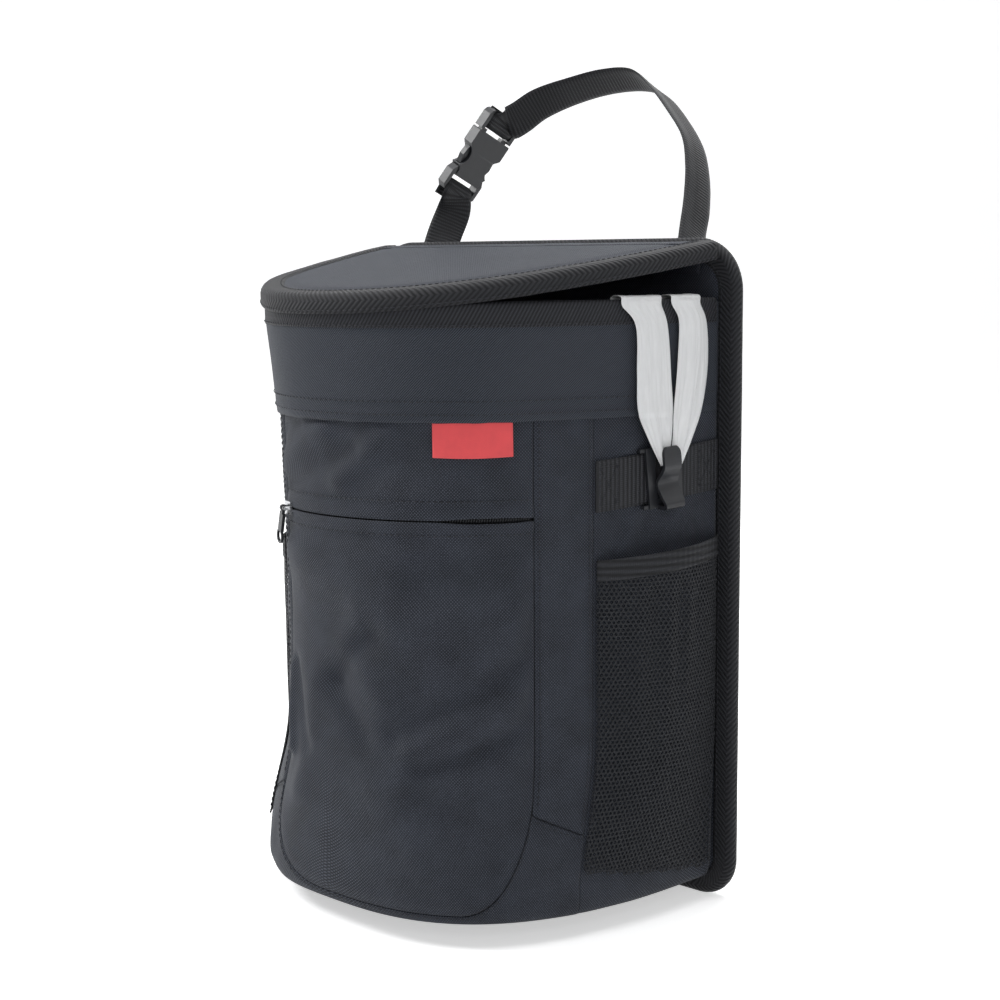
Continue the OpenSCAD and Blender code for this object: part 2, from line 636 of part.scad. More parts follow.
module hook_tongue() {
    path = curve(tongue_path, 4);
    h = web_w / 2;
    w = tongue_w / 2;
    intersection() {
        translate([0, w, 0]) rotate([90, 0, 0]) linear_extrude(tongue_w)
            polygon(band(concat([for (t = [0:0.25:0.75]) [mix(hook_front - 0.8, path[0].x, t), path[0].y]], path), hook_t));
        rotate([90, 0, 90]) linear_extrude(hook_front + 2 * tongue_bow) union() {
            polygon([[-w + 1, -h - 4], [w - 1, -h - 4], [w, -h + 3], [w, -h + 11], [w - 1, -h + 15], [w - 1, h - 1],
                [-w + 1, h - 1], [-w + 1, -h + 15], [-w, -h + 11], [-w, -h + 3]]);
            translate([0, h - 1.2]) circle(w - 1, $fn = fine);
        }
    }
}

module hook_form() {
    translate([hook_at.x, hook_at.y, hook_at.z]) rotate([0, 0, hook_turn]) rotate([hook_tilt, 0, 0]) {
        hook_plate();
        hook_tongue();
    }
}

module hook_clip_right() {
    color(plastic_colour) placed() hook_form();
}

module hook_clip_left() {
    color(plastic_colour) placed() mirror([1, 0, 0]) hook_form();
}

// Lid outline, from the hinge end on the left to the hinge end on the right
lid_end = half_len - 4.6;
function lid_plan(s, o) = collar(s, rim_z, lid_over + o);

// Stiffened panel of the lid
module lid_panel() {
    ss = spread(-lid_end, lid_end, 52);
    in = lip_t + 0.6;
    outline = [for (s = ss) let (p = lid_plan(s, -in)) [p.x, (min(lid_back, p.y) - hinge_y) / cos(lid_angle)]];
    color(cloth_colour) placed() translate([0, hinge_y, hinge_z]) rotate([lid_angle, 0, 0])
        translate([0, 0, -lid_t / 2]) linear_extrude(lid_t - 0.15) polygon(outline);
}

// Herringbone tape round the lid: a flange on top and a lip that hangs outside the rim
module lid_binding() {
    ss = spread(-lid_end, lid_end, 52);
    t = lip_t;
    outer = [[0, -lip_h], [0, -1.6], [-0.5, -0.4], [-1.6, 1.2], [-lid_tape_w, 1.2]];
    inner = [[-t, -lip_h], [-t, -1.6], [-t - 0.1, -0.6], [-1.9, 0.15], [-lid_tape_w, 0.15]];
    color(tape_colour) placed()
        sheet([for (q = outer) [for (s = ss) lid_point(s, q)]], [for (q = inner) [for (s = ss) lid_point(s, q)]]);
}

function lid_point(s, q) = let (p = lid_plan(s, q.x), y = min(lid_back, p.y)) [p.x, y, lid_top(y) + q.y];

// Folded cloth along the back panel that the lid turns on
module lid_hinge_strip() {
    w = half_w - 12;
    color(cloth_colour) placed() {
        translate([-w, -0.95, hinge_z - 12]) cube([2 * w, 0.8, 12]);
        translate([-w, hinge_y, hinge_z]) rotate([0, 90, 0]) cylinder(r = 0.6, h = 2 * w, $fn = 24);
        translate([-w, hinge_y - 0.1, hinge_z - 0.6]) cube([2 * w, -0.15 - hinge_y + 0.1, 0.9]);
    }
}

// Inside of the tub, closed across the back, as a ring of points at one height
function inside(z, o, back, tall) = let (ss = spread(-side_end + 0.6, side_end - 0.6, 36))
    concat([for (s = ss) let (p = tall ? collar(s, z, o) : tub(s, z, o)) [p.x, min(back, p.y), z]],
        [for (x = [0.8, 0.4, 0, -0.4, -0.8]) [x * (half_w - 6), back, z]]);

// Closed cup between outer rings and inner rings of points, both from the bottom up
module cup(o, i) {
    m = len(o);
    q = len(i);
    n = len(o[0]);
    k = m * n;
    t = (m - 1) * n;
    u = k + (q - 1) * n;
    outer = [for (a = [0:m - 2]) for (b = [0:n - 1]) let (c = (b + 1) % n)
        each [[a * n + b, (a + 1) * n + b, (a + 1) * n + c], [a * n + b, (a + 1) * n + c, a * n + c]]];
    inner = [for (a = [0:q - 2]) for (b = [0:n - 1]) let (c = (b + 1) % n, d = k + a * n)
        each [[d + b, d + n + c, d + n + b], [d + b, d + c, d + n + c]]];
    edge = [for (b = [0:n - 1]) let (c = (b + 1) % n) each [[t + c, t + b, u + b], [t + c, u + b, u + c]]];
    e = k + q * n;
    floors = [for (b = [0:n - 1]) let (c = (b + 1) % n) each [[b, c, e], [k + c, k + b, e + 1]]];
    points = concat([for (r = o) each r], [for (r = i) each r], [middle(o[0]), middle(i[0])]);
    polyhedron(points, concat(outer, inner, edge, floors));
}

function middle(ring) = [0, (min([for (p = ring) p.y]) + max([for (p = ring) p.y])) / 2, ring[0].z];

board_z = wall_low;
lining_z = board_z + board_t + air;

module base_board() {
    ss = spread(-side_end + 1, side_end - 1, 40);
    color(black) placed() translate([0, 0, board_z]) linear_extrude(board_t)
        polygon([for (s = ss) let (p = tub(s, base_z + foot_round_h, -cloth_t - foot_round_in)) [p.x, min(-1.2, p.y)]]);
}

// Leak-proof cup inside the tub; its top edge is held in the rim tape
module lining() {
    o = -lining_in;
    top = -cloth_t - air;
    t = lining_t;
    low_z = [lining_z, lining_z + 5, base_z + 30, base_z + 60, base_z + 90, base_z + 130, collar_z - 60, collar_z - 3];
    outer = concat([for (z = low_z) inside(z, o, -0.5, false)], [for (z = [collar_z + 8, rim_z - 12, wall_high])
        inside(z, top, -0.5, true)]);
    inner_z = [lining_z + t, lining_z + 5 + t, base_z + 30, base_z + 60, base_z + 90, base_z + 130, collar_z - 60, collar_z - 3];
    inner = concat([for (z = inner_z) inside(z, o - t, -0.5 - t, false)],
        [for (z = [collar_z + 8, rim_z - 12, wall_high]) inside(z, top - t, -0.5 - t, true)]);
    color("#34363c") placed() cup(outer, inner);
}

// Film bag inside the lining, with a handle over the rim on each side
module liner_bag() {
    o = -lining_in - lining_t - 0.3;
    t = film_t;
    z0 = lining_z + lining_t + 0.3;
    top = rim_z - bag_drop;
    high = -cloth_t - air - lining_t - rim_tape_t - 0.6;
    outer_z = [z0, z0 + 5, base_z + 30, base_z + 60, base_z + 90, base_z + 130, collar_z - 60, collar_z - 3];
    inner_z = [z0 + t, z0 + 5 + t, base_z + 30, base_z + 60, base_z + 90, base_z + 130, collar_z - 60, collar_z - 3];
    color(film_colour, 0.7) placed() {
        cup(concat([for (z = outer_z) inside(z, o, -2.1, false)],
                [for (z = [collar_z + 8, top]) inside(z, high, -2.1, true)]),
            concat([for (z = inner_z) inside(z, o - t, -2.1 - t, false)],
                [for (z = [collar_z + 8, top]) inside(z, high - t, -2.1 - t, true)]));
        for (side = [0, 1]) mirror([side, 0, 0]) {
            handle_leg(concat(over_rim(-59.3, handle_w / 2), [[2.6, rim_z - 12, -56, 13], [3.4, rim_z - 33, -55, 12.7],
                [4.8, rim_z - 55, -53.4, 12], [6.3, rim_z - 67, -48, 7.5], [hook_front + 2.8, hook_at.z + 10, -42, 2.6]]));
            handle_leg(concat(over_rim(-22.2, handle_w * 0.34), [[2.6, rim_z - 12, -22.5, 8.8], [3.4, rim_z - 33, -25.5, 9],
                [4.8, rim_z - 55, -29.7, 9.4], [6.3, rim_z - 67, -32.5, 6.5], [hook_front + 2.8, hook_at.z + 10, -35.6, 2.6]]));
        }
    }
}

// Stations of a handle leg: distance out from the wall, height, distance from the back panel, half width
function over_rim(y, w) = let (x = -cloth_t - air - lining_t - rim_grip - rim_tape_t - air - 0.6)
    [[x, rim_z - bag_drop - 4, y, w], [x, rim_z - 3, y, w], [x + 1.2, rim_z + 0.9, y, w], [mix(x, 2.4, 0.5), rim_z + 1.7, y, w],
    [1.3, rim_z + 0.9, y, w], [2.4, rim_z - 3, y, w]];
function wall(s, z, o) = z > collar_z ? collar(s, z, o) : tub(s, z, o);

// One leg of the bag's handle: up from the bag, over the rim and down behind the hook's head
module handle_leg(stations) {
    t = 1.2;
    path = curve(stations, 2);
    n = len(path) - 1;
    side = [for (i = [0:n]) let (d = path[min(n, i + 1)] - path[max(0, i - 1)]) [-d.y, d.x] / norm([d.x, d.y]) * t / 2];
    rows = [for (m = [1, -1]) [for (i = [0:n]) let (p = path[i], q = side[i] * m)
        [for (u = [1, 1 / 3, -1 / 3, -1]) wall(half_len + p[2] + u * p[3], p.y + q.y, p.x + q.x)]]];
    sheet(rows[0], rows[1]);
}

// Local frame of the buckle: z along it towards the long strap, x across it, -y its front
module at_buckle() {
    translate([buckle_mid.x, panel_t + buckle_mid.y, panel_h + buckle_mid.z])
        rotate([-buckle_lean, 0, 0]) rotate([0, buckle_tilt, 0]) rotate([0, 0, 90]) children();
}

// Flat shape in the buckle's own plane, of thickness t about its middle
module across(t) {
    translate([0, t / 2, 0]) rotate([90, 0, 0]) linear_extrude(t) children();
}

// Box cut through the buckle for the strap, between two heights
module strap_cut(y0, y1, z0, z1) {
    w = strap_w / 2 + air;
    translate([-w, y0, z0]) cube([2 * w, y1 - y0, z1 - z0]);
}

// Room in front of and behind the bar that the strap folds round
module strap_room(z0, z1) {
    strap_cut(bar_w / 2, buckle_t, z0, z1);
    strap_cut(-buckle_t, -bar_w / 2, z0, z1);
}

// Female half: shoulders, a waist cut by the two side windows, and the strap's bar between two cheeks
module buckle_socket() {
    w = buckle_w / 2;
    neck = w - 3.4;
    slot = -14.7;
    color(plastic_colour) placed() at_buckle() difference() {
        union() {
            across(buckle_t) polygon([[-w + 0.5, socket_top], [w - 0.5, socket_top], [w, socket_top - 0.5], [w, 5.3],
                [w - 1.2, 4.2], [w - 1.2, -8], [neck, -11], [neck, slot + 1], [-neck, slot + 1], [-neck, -11],
                [-w + 1.2, -8], [-w + 1.2, 4.2], [-w, 5.3], [-w, socket_top - 0.5]]);
            across(buckle_t - 1.4) polygon([[-w + 2, -9.5], [w - 2, -9.5], [w, -13], [w, socket_low + 2.5],
                [w - 2.5, socket_low], [-w + 2.5, socket_low], [-w, socket_low + 2.5], [-w, -13]]);
        }
        // Hollow for the prongs, open at the top and through both sides
        translate([-w + 2, -buckle_t / 2 + 1.7, -11.3]) cube([2 * w - 4, buckle_t - 3.4, 30]);
        for (x = [-1, 1]) translate([x * (w + 2.6), buckle_t, -2.2]) rotate([90, 0, 0])
            cylinder(r = 7.3, h = 2 * buckle_t, $fn = fine);
        strap_cut(-buckle_t, buckle_t, socket_bar + bar_w / 2, slot);
        strap_room(socket_low - 1, slot);
    }
}

// Male half: the long strap's bars between two cheeks, a guide in the middle and two sprung prongs
module buckle_plug() {
    w = buckle_w / 2;
    inner = w - 2.4;
    t = buckle_t - 4;
    root = 11.5;
    top = plug_end;
    color(plastic_colour) placed() at_buckle() {
        difference() {
            across(buckle_t - 1) polygon([[-w, plug_low], [w, plug_low], [w, top - 3.5], [w - 1, top - 1.2], [w - 3, top],
                [-w + 3, top], [-w + 1, top - 1.2], [-w, top - 3.5]]);
            strap_cut(-buckle_t, buckle_t, plug_low - 1, plug_bar - bar_w / 2);
            strap_cut(-buckle_t, buckle_t, plug_bar + bar_w / 2, top - 2.4);
            strap_room(plug_low, top + 1);
        }
        for (m = [0, 1]) mirror([m, 0, 0]) {
            across(t) polygon([[inner - 3.6, root], [inner, root], [inner, plug_low], [w, plug_low], [w, plug_low + 0.9],
                [inner - 3.6, plug_low + 0.9]]);
            across(t) polygon([[inner - 3, root + 2], [inner, root + 2], [inner, 5], [w - 1.6, 1.5], [w - 1.2, -2.5],
                [w - 2.8, -7.5], [w - 4.8, -10], [inner - 4, -9], [inner - 3.4, -4]]);
        }
        across(t) polygon([[-inner + 1, root], [inner - 1, root], [inner - 1, root + 2.6], [-inner + 1, root + 2.6]]);
        across(t) polygon([[-2, root + 1], [2, root + 1], [2, -7], [1.2, -9], [-1.2, -9], [-2, -7]]);
    }
}

// Rings of a flat ribbon along points given with the way its width lies at each
function ribbon(line) = let (path = curve([for (q = line) q[0]], 3), lay = curve([for (q = line) q[1]], 3),
        n = len(path) - 1)
    [for (i = [0:n]) let (a = path[max(0, i - 1)], b = path[min(n, i + 1)], u = (b - a) / norm(b - a),
            flat = lay[i] - u * (u * lay[i]), wide = flat / norm(flat) * strap_w / 2,
            thick = cross(u, wide) / norm(wide) * strap_t / 2)
        [path[i] + wide + thick, path[i] - wide + thick, path[i] - wide - thick, path[i] + wide - thick]];

module strap_long() {
    color(web_colour) placed() translate([0, panel_t, panel_h]) loft(strap_rings);
}

module strap_short() {
    color(web_colour) placed() translate([0, panel_t, panel_h]) loft(ribbon(short_line));
}

// Bare woven label, sewn in under the collar
module label() {
    color(label_colour) placed()
        tub_panel(label_s, label_s + label_w, 6, 2, function (s) collar_z - label_h,
            function (s) collar_z - air, function (s, t) air + 0.8, 0.8);
}

back_panel();
back_binding();
collar_band();
rim_binding();
front_upper_panel();
front_pocket_panel();
zip_tape();
zip_coil();
zip_slider();
zip_pull();
strip_right();
strip_left();
base_gusset();
base_panel();
side_panel_right();
side_panel_left();
mesh_pocket_right();
mesh_pocket_left();
pocket_elastic_right();
pocket_elastic_left();
hook_webbing_right();
hook_webbing_left();
hook_clip_right();
hook_clip_left();
lid_panel();
lid_binding();
lid_hinge_strip();
lining();
base_board();
liner_bag();
strap_long();
strap_short();
buckle_socket();
buckle_plug();
label();
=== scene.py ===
# Looks of the soft car bin: sewn cloth, tapes, stitching, mesh, webbing, film and moulded clips
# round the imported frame. Lengths are millimetres in the formulas and metres in the meshes.
import math

import bmesh
import bpy
import numpy as np
from mathutils import Matrix, Vector, noise


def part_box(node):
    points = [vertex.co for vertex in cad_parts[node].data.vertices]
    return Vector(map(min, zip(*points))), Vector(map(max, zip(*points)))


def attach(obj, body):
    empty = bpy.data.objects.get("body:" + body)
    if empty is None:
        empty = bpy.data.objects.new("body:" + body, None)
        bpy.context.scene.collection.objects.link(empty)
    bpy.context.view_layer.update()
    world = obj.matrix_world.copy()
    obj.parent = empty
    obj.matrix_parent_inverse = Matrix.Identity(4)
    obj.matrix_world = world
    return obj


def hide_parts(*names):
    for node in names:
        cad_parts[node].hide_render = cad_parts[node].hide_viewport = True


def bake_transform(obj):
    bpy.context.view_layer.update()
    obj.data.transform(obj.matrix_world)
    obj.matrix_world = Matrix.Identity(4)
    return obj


bl_info = {
    "name": "Soft car bin",
    "version": (1, 0, 0),
    "blender": (4, 5, 0),
    "location": "View3D > Sidebar > Car bin",
    "description": "Sewn cloth, tapes, mesh, straps and bag of a soft car bin round its frame",
    "category": "Object",
}

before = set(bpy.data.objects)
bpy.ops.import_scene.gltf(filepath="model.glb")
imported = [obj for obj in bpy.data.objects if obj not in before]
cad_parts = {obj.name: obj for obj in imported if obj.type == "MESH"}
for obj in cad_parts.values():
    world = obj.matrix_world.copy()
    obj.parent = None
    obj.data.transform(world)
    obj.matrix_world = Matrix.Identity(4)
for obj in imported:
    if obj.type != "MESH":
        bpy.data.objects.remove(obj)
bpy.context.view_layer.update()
MM = 0.001

# Sizes of the back panel, from the frame
PANEL_LOW, PANEL_HIGH = [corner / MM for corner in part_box("back_binding")]
PANEL_DRAWN = 1.8  # the sewn tape draws each side of the panel in
PANEL_HALF = PANEL_HIGH.x - PANEL_DRAWN
PANEL_H = PANEL_HIGH.z
FACE_Y = PANEL_LOW.y
PANEL_T = PANEL_HIGH.y - PANEL_LOW.y
TOP_R = 26
FOOT_R = 21
EDGE_TAPE_W = 11.5

# Tub
HALF_W = PANEL_HIGH.x - 12.7
TUB_D = 164
RIM_Z = PANEL_H - 29.3
BASE_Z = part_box("base_panel")[0].z / MM
BASE_HALF_W = HALF_W - 3.5
BASE_D = TUB_D - 6
BASE_SQUARE = 2.7
WAIST = 0.946
TUB_DRAWN = 3.6  # the soft tub is pressed in this far at its left
CLOTH_T = 1.2
SEAM_GAP = 0.15  # cloth stops this far short of a seam line
FOOT_H = 12
FOOT_IN = 6
FRONT_TURN = math.radians(65.4)
SIDE_BOW = math.radians(9.83)
CHORD = math.tan(FRONT_TURN + SIDE_BOW)
FRONT_R = (HALF_W * CHORD - TUB_D) / (CHORD * math.sin(FRONT_TURN) - 1 + math.cos(FRONT_TURN))
FRONT_C = TUB_D - FRONT_R
ARC_END = Vector((FRONT_R * math.sin(FRONT_TURN), -FRONT_C - FRONT_R * math.cos(FRONT_TURN)))
SIDE_R = (Vector((HALF_W, 0)) - ARC_END).length / (2 * math.sin(SIDE_BOW))
SIDE_C = ARC_END - SIDE_R * Vector((math.sin(FRONT_TURN), -math.cos(FRONT_TURN)))
FRONT_LEN = FRONT_R * FRONT_TURN
HALF_LEN = FRONT_LEN + SIDE_R * 2 * SIDE_BOW
SIDE_END = HALF_LEN - 0.6

# Seams, along the tub's outline from the middle of its front, and heights
COLLAR_Z = RIM_Z - 55.7
ZIP_Z = COLLAR_Z - 47
SEAM_RIGHT = FRONT_LEN - 0.5
SEAM_LEFT = -44
STRIP_W = 32.5
SIDE_FROM = SEAM_RIGHT + STRIP_W
SIDE_LEFT = SEAM_LEFT - STRIP_W
CORNER_Z = 72
CORNER_IN = 44
POCKET_Z = 16.5
JOIN_Z = 62
JOIN_DROP = 12
WEB_RISE = 7
WEB_W = 25
WEB_DROP = 33.5
ELASTIC_W = 10.5
ELASTIC_DROP = 69
MESH_Z = 34
MESH_FALL = 14
UNDER_COLLAR = COLLAR_Z + 1.5
OVER_BASE = BASE_Z + 2

# Lid
HINGE_Y = -2.6
HINGE_Z = PANEL_H - 3.6
LID_OVER = 2.9
LID_T = 2
LIP_H = 8
LID_TAPE_W = 12
LID_SLOPE = (HINGE_Z + 0.5 * LID_T - RIM_Z - 0.3 - LID_T) / (TUB_D + LID_OVER + HINGE_Y)
LID_BACK = HINGE_Y - 0.9
LID_END = HALF_LEN - 4.6

# Strap and buckle, from the top of the back panel's rear face
STRAP_FROM = Vector((0, FACE_Y + PANEL_T, PANEL_H))
STRAP_W = 20
STRAP_T = 1.5
STRAP_RIB = 1.9
STRAP_SEWN = 40
STRAP_X = (-93, 92)
BUCKLE_LEAN = math.radians(23)
BUCKLE_TILT = math.radians(27)
BUCKLE_MID = Vector((-83.2, 30, 48.2))
PLUG_BAR = 21.5
SOCKET_BAR = -21.2

# Camera, fitted to the photograph: place in metres, lens on a 36 mm sensor, angles in degrees
CAMERA_AT = (0.65103, -0.67728, 0.32663)
CAMERA_LENS = 64.28
CAMERA_TURN = (43.6084, 7.6580, -0.3789)


def smooth(a, b, x):
    """0 up to a and 1 past b, with a soft step between them."""
    t = min(1, max(0, (x - a) / (b - a)))
    return t * t * (3 - 2 * t)


def mix(a, b, t):
    return a + (b - a) * t


def lookup(x, table):
    """Value at x of a table of (place, value)."""
    return float(np.interp(x, *zip(*table)))


def eased(t):
    """Even steps from 0 to 1 bunched towards both ends."""
    return 0.5 - 0.5 * math.cos(math.pi * t)


def height(line, s):
    """Height of a line at a place along the outline: a number, or a function of the place."""
    return line(s) if callable(line) else line


def run_of(points):
    """Length run along a line, at each of its points."""
    return np.concatenate([[0], np.cumsum([math.dist(a, b) for a, b in zip(points, points[1:])])])


def through(points, t):
    """Place on the smooth curve through given points, t from 0 to their number less one."""
    i = min(len(points) - 2, int(t))
    f = t - i
    a, b, c, d = (points[min(len(points) - 1, max(0, i + k))] for k in (-1, 0, 1, 2))
    return 0.5 * (2 * b + (c - a) * f + (2 * a - 5 * b + 4 * c - d) * f**2 + (3 * b - a - 3 * c + d) * f**3)


# ---------------------------------------------------------------- surfaces of the frame


def plan(s):
    """Point of the rim's plan at a distance s along it from the middle of the front."""
    a = abs(s)
    if a <= FRONT_LEN:
        turn, centre, radius = a / FRONT_R, Vector((0, -FRONT_C)), FRONT_R
    else:
        turn, centre, radius = FRONT_TURN + (a - FRONT_LEN) / SIDE_R, SIDE_C, SIDE_R
    x = centre.x + radius * math.sin(turn)
    return Vector((math.copysign(x, s), centre.y - radius * math.cos(turn)))


def to_back(s):
    """0 along the front of the outline, 1 where it meets the back panel."""
    return smooth(FRONT_LEN, HALF_LEN, abs(s))


def base_plan(s):
    """Point of the squarer outline that the tub has at its base."""
    p = plan(s)
    turn = math.atan2(abs(p.x) / HALF_W, max(0, -p.y / TUB_D))
    wide = mix(BASE_HALF_W, HALF_W - 0.5, to_back(s))
    x = wide * math.sin(turn) ** (2 / BASE_SQUARE)
    return Vector((math.copysign(x, s), -BASE_D * max(0, math.cos(turn)) ** (2 / BASE_SQUARE)))


def tub_share(z):
    """Share of the rim's plan that the tub has at a height."""
    return lookup(z, ((BASE_Z, WAIST + 0.004), (RIM_Z - 198, WAIST + 0.001), (RIM_Z - 168, WAIST - 0.002),
                      (RIM_Z - 108, WAIST + 0.001), (RIM_Z - 58, WAIST + 0.011)))


def skin(s, z):
    """Tub's outline below the collar at a height."""
    p, k = plan(s), tub_share(z)
    p = Vector((p.x * mix(k, 0.996, to_back(s)), p.y * k))
    square = 1 - smooth(BASE_Z + 12, BASE_Z + 85, z)
    return p.lerp(base_plan(s), square) if square else p


def collar_skin(s, z):
    """Tub's outline at the collar and rim."""
    p, k = plan(s), lookup(z, ((COLLAR_Z, WAIST + 0.025), (RIM_Z - 12, 1)))
    return Vector((p.x * mix(k, 0.996, to_back(s)), p.y * k))


def drawn_in(s):
    """How far the soft tub is pressed in at its left."""
    return TUB_DRAWN * smooth(15, 75, -s) * (1 - smooth(150, 215, -s))


def moved(surface, s, z, out):
    """Point of a surface, moved out of it by out, in the frame's own place."""
    p = surface(s, z)
    d = (surface(s + 0.3, z) - surface(s - 0.3, z)).normalized()
    out -= drawn_in(s)
    return Vector((p.x + d.y * out, p.y - d.x * out + FACE_Y, z))


def tub(s, z, out=0.0):
    """Point out from the tub's side, rounded in at its foot."""
    h = max(0, BASE_Z + FOOT_H - z) / FOOT_H
    return moved(skin, s, z, out - FOOT_IN * (1 - math.sqrt(max(0, 1 - h * h))))


def collar(s, z, out=0.0):
    return moved(collar_skin, s, z, out)


def lid_top(y):
    return HINGE_Z + 0.5 * LID_T - LID_SLOPE * (HINGE_Y - y + FACE_Y)


def lid_edge(s, out):
    """Point of the lid's outline, moved out, at the height of the rim."""
    p = collar(s, RIM_Z, LID_OVER + out)
    p.y = min(LID_BACK + FACE_Y, p.y)
    return p


def turn_in(d):
    """Height of the pocket's rounded lower corner at a distance from its side seam."""
    h = min(1, max(0, 1 - d / CORNER_IN))
    return CORNER_Z - (CORNER_Z - POCKET_Z) * math.sqrt(1 - h * h)


def pocket_low(s):
    return turn_in(min(SEAM_RIGHT - s, s - SEAM_LEFT))


def join_low(s):
    return JOIN_Z - JOIN_DROP * max(s - SEAM_RIGHT, SEAM_LEFT - s) / STRIP_W


def gusset_top(s):
    return join_low(s) if s > SEAM_RIGHT or s < SEAM_LEFT else min(JOIN_Z, pocket_low(s) - 0.7)


def side_rise(s):
    return WEB_RISE * max(0, abs(s) - SIDE_FROM) / (HALF_LEN - SIDE_FROM)


def mesh_low(s):
    return MESH_Z - MESH_FALL * max(0, abs(s) - SIDE_FROM) / (HALF_LEN - SIDE_FROM)


def elastic_low(s):
    return COLLAR_Z - ELASTIC_DROP - ELASTIC_W + side_rise(s)


def web_mid(s):
    return COLLAR_Z - WEB_DROP + side_rise(s)


# ---------------------------------------------------------------- folds of the cloth

# Soft ridges of the draped cloth: from (along the outline, height) to another, width, height out
FRONT_RIDGES = (
    ((-30, 186), (38, 176), 15, 1.5), ((26, 158), (112, 158), 11, 1.5), ((16, 142), (36, 118), 9, 1.0),
    ((50, 98), (113, 125), 9, 1.5), ((40, 132), (80, 142), 16, 0.9), ((-39, 124), (-32, 84), 4, 1.3),
    ((-10, 118), (-20, 66), 9, 0.8), ((36, 70), (72, 92), 15, 0.9), ((80, 82), (108, 92), 10, 0.8),
    ((46, 44), (66, 26), 8, 0.5),
)
FRONT_VALLEYS = (
    ((30, 150), (6, 124), 7, 1.1), ((6, 124), (24, 98), 7, 0.9), ((44, 101), (112, 138), 7, 1.5),
    ((56, 86), (112, 104), 6, 1.2), ((56, 72), (96, 40), 9, 1.1), ((-30, 128), (-16, 88), 5, 0.8),
    ((60, 176), (112, 190), 14, 0.8),
)
UPPER_RIDGES = (
    ((-40, 226), (2, 246), 7, 1.1), ((10, 222), (40, 247), 6, 0.7), ((60, 216), (98, 224), 8, 0.5),
)
UPPER_VALLEYS = (
    ((-34, 216), (20, 238), 6, 1.0), ((24, 222), (50, 240), 7, 0.6), ((-42, 244), (-20, 250), 5, 0.7),
)
SIDE_RIDGES = (((150, 212), (171, 240), 5, 1.6), ((164, 186), (171, 204), 5, 1.1), ((180, 214), (200, 240), 8, 0.7))
SIDE_VALLEYS = (((148, 226), (160, 243), 5, 1.3), ((158, 184), (164, 200), 4, 0.9))


def near_line(s, z, a, b, wide):
    """Share of a fold felt at a point: 1 on its line, soft to 0 away from it and past its ends."""
    p, a, b = Vector((s, z)), Vector(a), Vector(b)
    d = b - a
    part = max(0, min(1, (p - a).dot(d) / d.length_squared))
    away = (p - a - d * part).length / wide
    return math.exp(-away * away)


def folds(s, z, ridges, valleys):
    out, down = (sum(q[3] * near_line(s, z, *q[:3]) for q in table) for table in (ridges, valleys))
    return out - down


def ripple(s, z, size, deep, seed):
    """Gentle unevenness of the cloth, in patches of a size."""
    return deep * noise.noise(Vector((s / size, z / size, seed)))


def near_seam(d, reach):
    """0 at a seam line, 1 past its reach."""
    return smooth(0, reach, d)


# ---------------------------------------------------------------- mesh tools

MERGE = 0.00001
TUB_CENTRE = Vector((0, (FACE_Y - 70) * MM, 0.16))
STITCH_SHARE = 0.78  # a stitch's share of its pitch


def mesh_of(name, bm):
    """Smooth-shaded mesh of a finished bmesh."""
    mesh = bpy.data.meshes.new(name)
    bm.to_mesh(mesh)
    bm.free()
    mesh.shade_smooth()
    return mesh


def place_piece(name, mesh, finish, body, nodes=()):
    """Object that wears a finish, rides on a body and stands for its nodes."""
    piece = bpy.data.objects.new(name, mesh)
    bpy.context.scene.collection.objects.link(piece)
    mesh.materials.append(MATERIALS[finish])
    if body:
        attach(piece, body)
    if nodes:
        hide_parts(*nodes)
    return piece


def new_piece(name, bm, finish, body, nodes=()):
    return place_piece(name, mesh_of(name, bm), finish, body, nodes)


def surface_grid(bm, cols, rows, place, chart):
    """Grid whose points go where place(u, v) says, with its UV in millimetres from chart(u, v)."""
    old = set(bm.verts)
    bmesh.ops.create_grid(bm, x_segments=cols, y_segments=rows, size=1)
    uv = bm.loops.layers.uv.get("Cloth") or bm.loops.layers.uv.new("Cloth")
    fresh = [v for v in bm.verts if v not in old]
    at = {v: ((v.co.x + 1) / 2, (v.co.y + 1) / 2) for v in fresh}
    for face in {f for v in fresh for f in v.link_faces}:
        for loop in face.loops:
            u, v = at[loop.vert]
            loop[uv].uv = chart(u, v)
    for v in fresh:
        v.co = place(*at[v]) * MM


def joined(bm):
    """Doubles merged and faces turned the same way."""
    bmesh.ops.remove_doubles(bm, verts=bm.verts, dist=MERGE)
    bmesh.ops.recalc_face_normals(bm, faces=bm.faces)


def outward(bm, centre):
    """Open shell turned so that its faces look away from a centre."""
    total = sum((f.calc_center_median() - centre).dot(f.normal) * f.calc_area() for f in bm.faces)
    if total < 0:
        bmesh.ops.reverse_faces(bm, faces=bm.faces)


def facing_up(bm):
    """Open folded tape turned so that its top faces upwards."""
    bm.normal_update()
    if max(bm.faces, key=lambda f: f.calc_center_median().z).normal.z < 0:
        bmesh.ops.reverse_faces(bm, faces=bm.faces)


def thicken(piece, thick, offset=-1.0):
    solid = piece.modifiers.new("Thickness", "SOLIDIFY")
    solid.thickness = thick * MM
    solid.offset = offset
    return piece


def tub_piece(name, node, s0, s1, low, high, cols, rows, out, finish="cloth", thick=CLOTH_T,
              surface=tub):
    """Cloth panel on the tub between two seams and two height lines."""
    bm = bmesh.new()

    def at(u, v):
        s = mix(s0, s1, u)
        return s, mix(height(low, s), height(high, s), v)

    def place(u, v):
        s, z = at(u, v)
        return surface(s, z, out(s, z))

    surface_grid(bm, cols, rows, place, at)
    bm.normal_update()
    outward(bm, TUB_CENTRE)
    piece = thicken(new_piece(name, bm, finish, "tub", [node]), thick)
    lows, highs = (np.array([height(line, s) for s in np.linspace(s0, s1, 60)]) for line in (low, high))


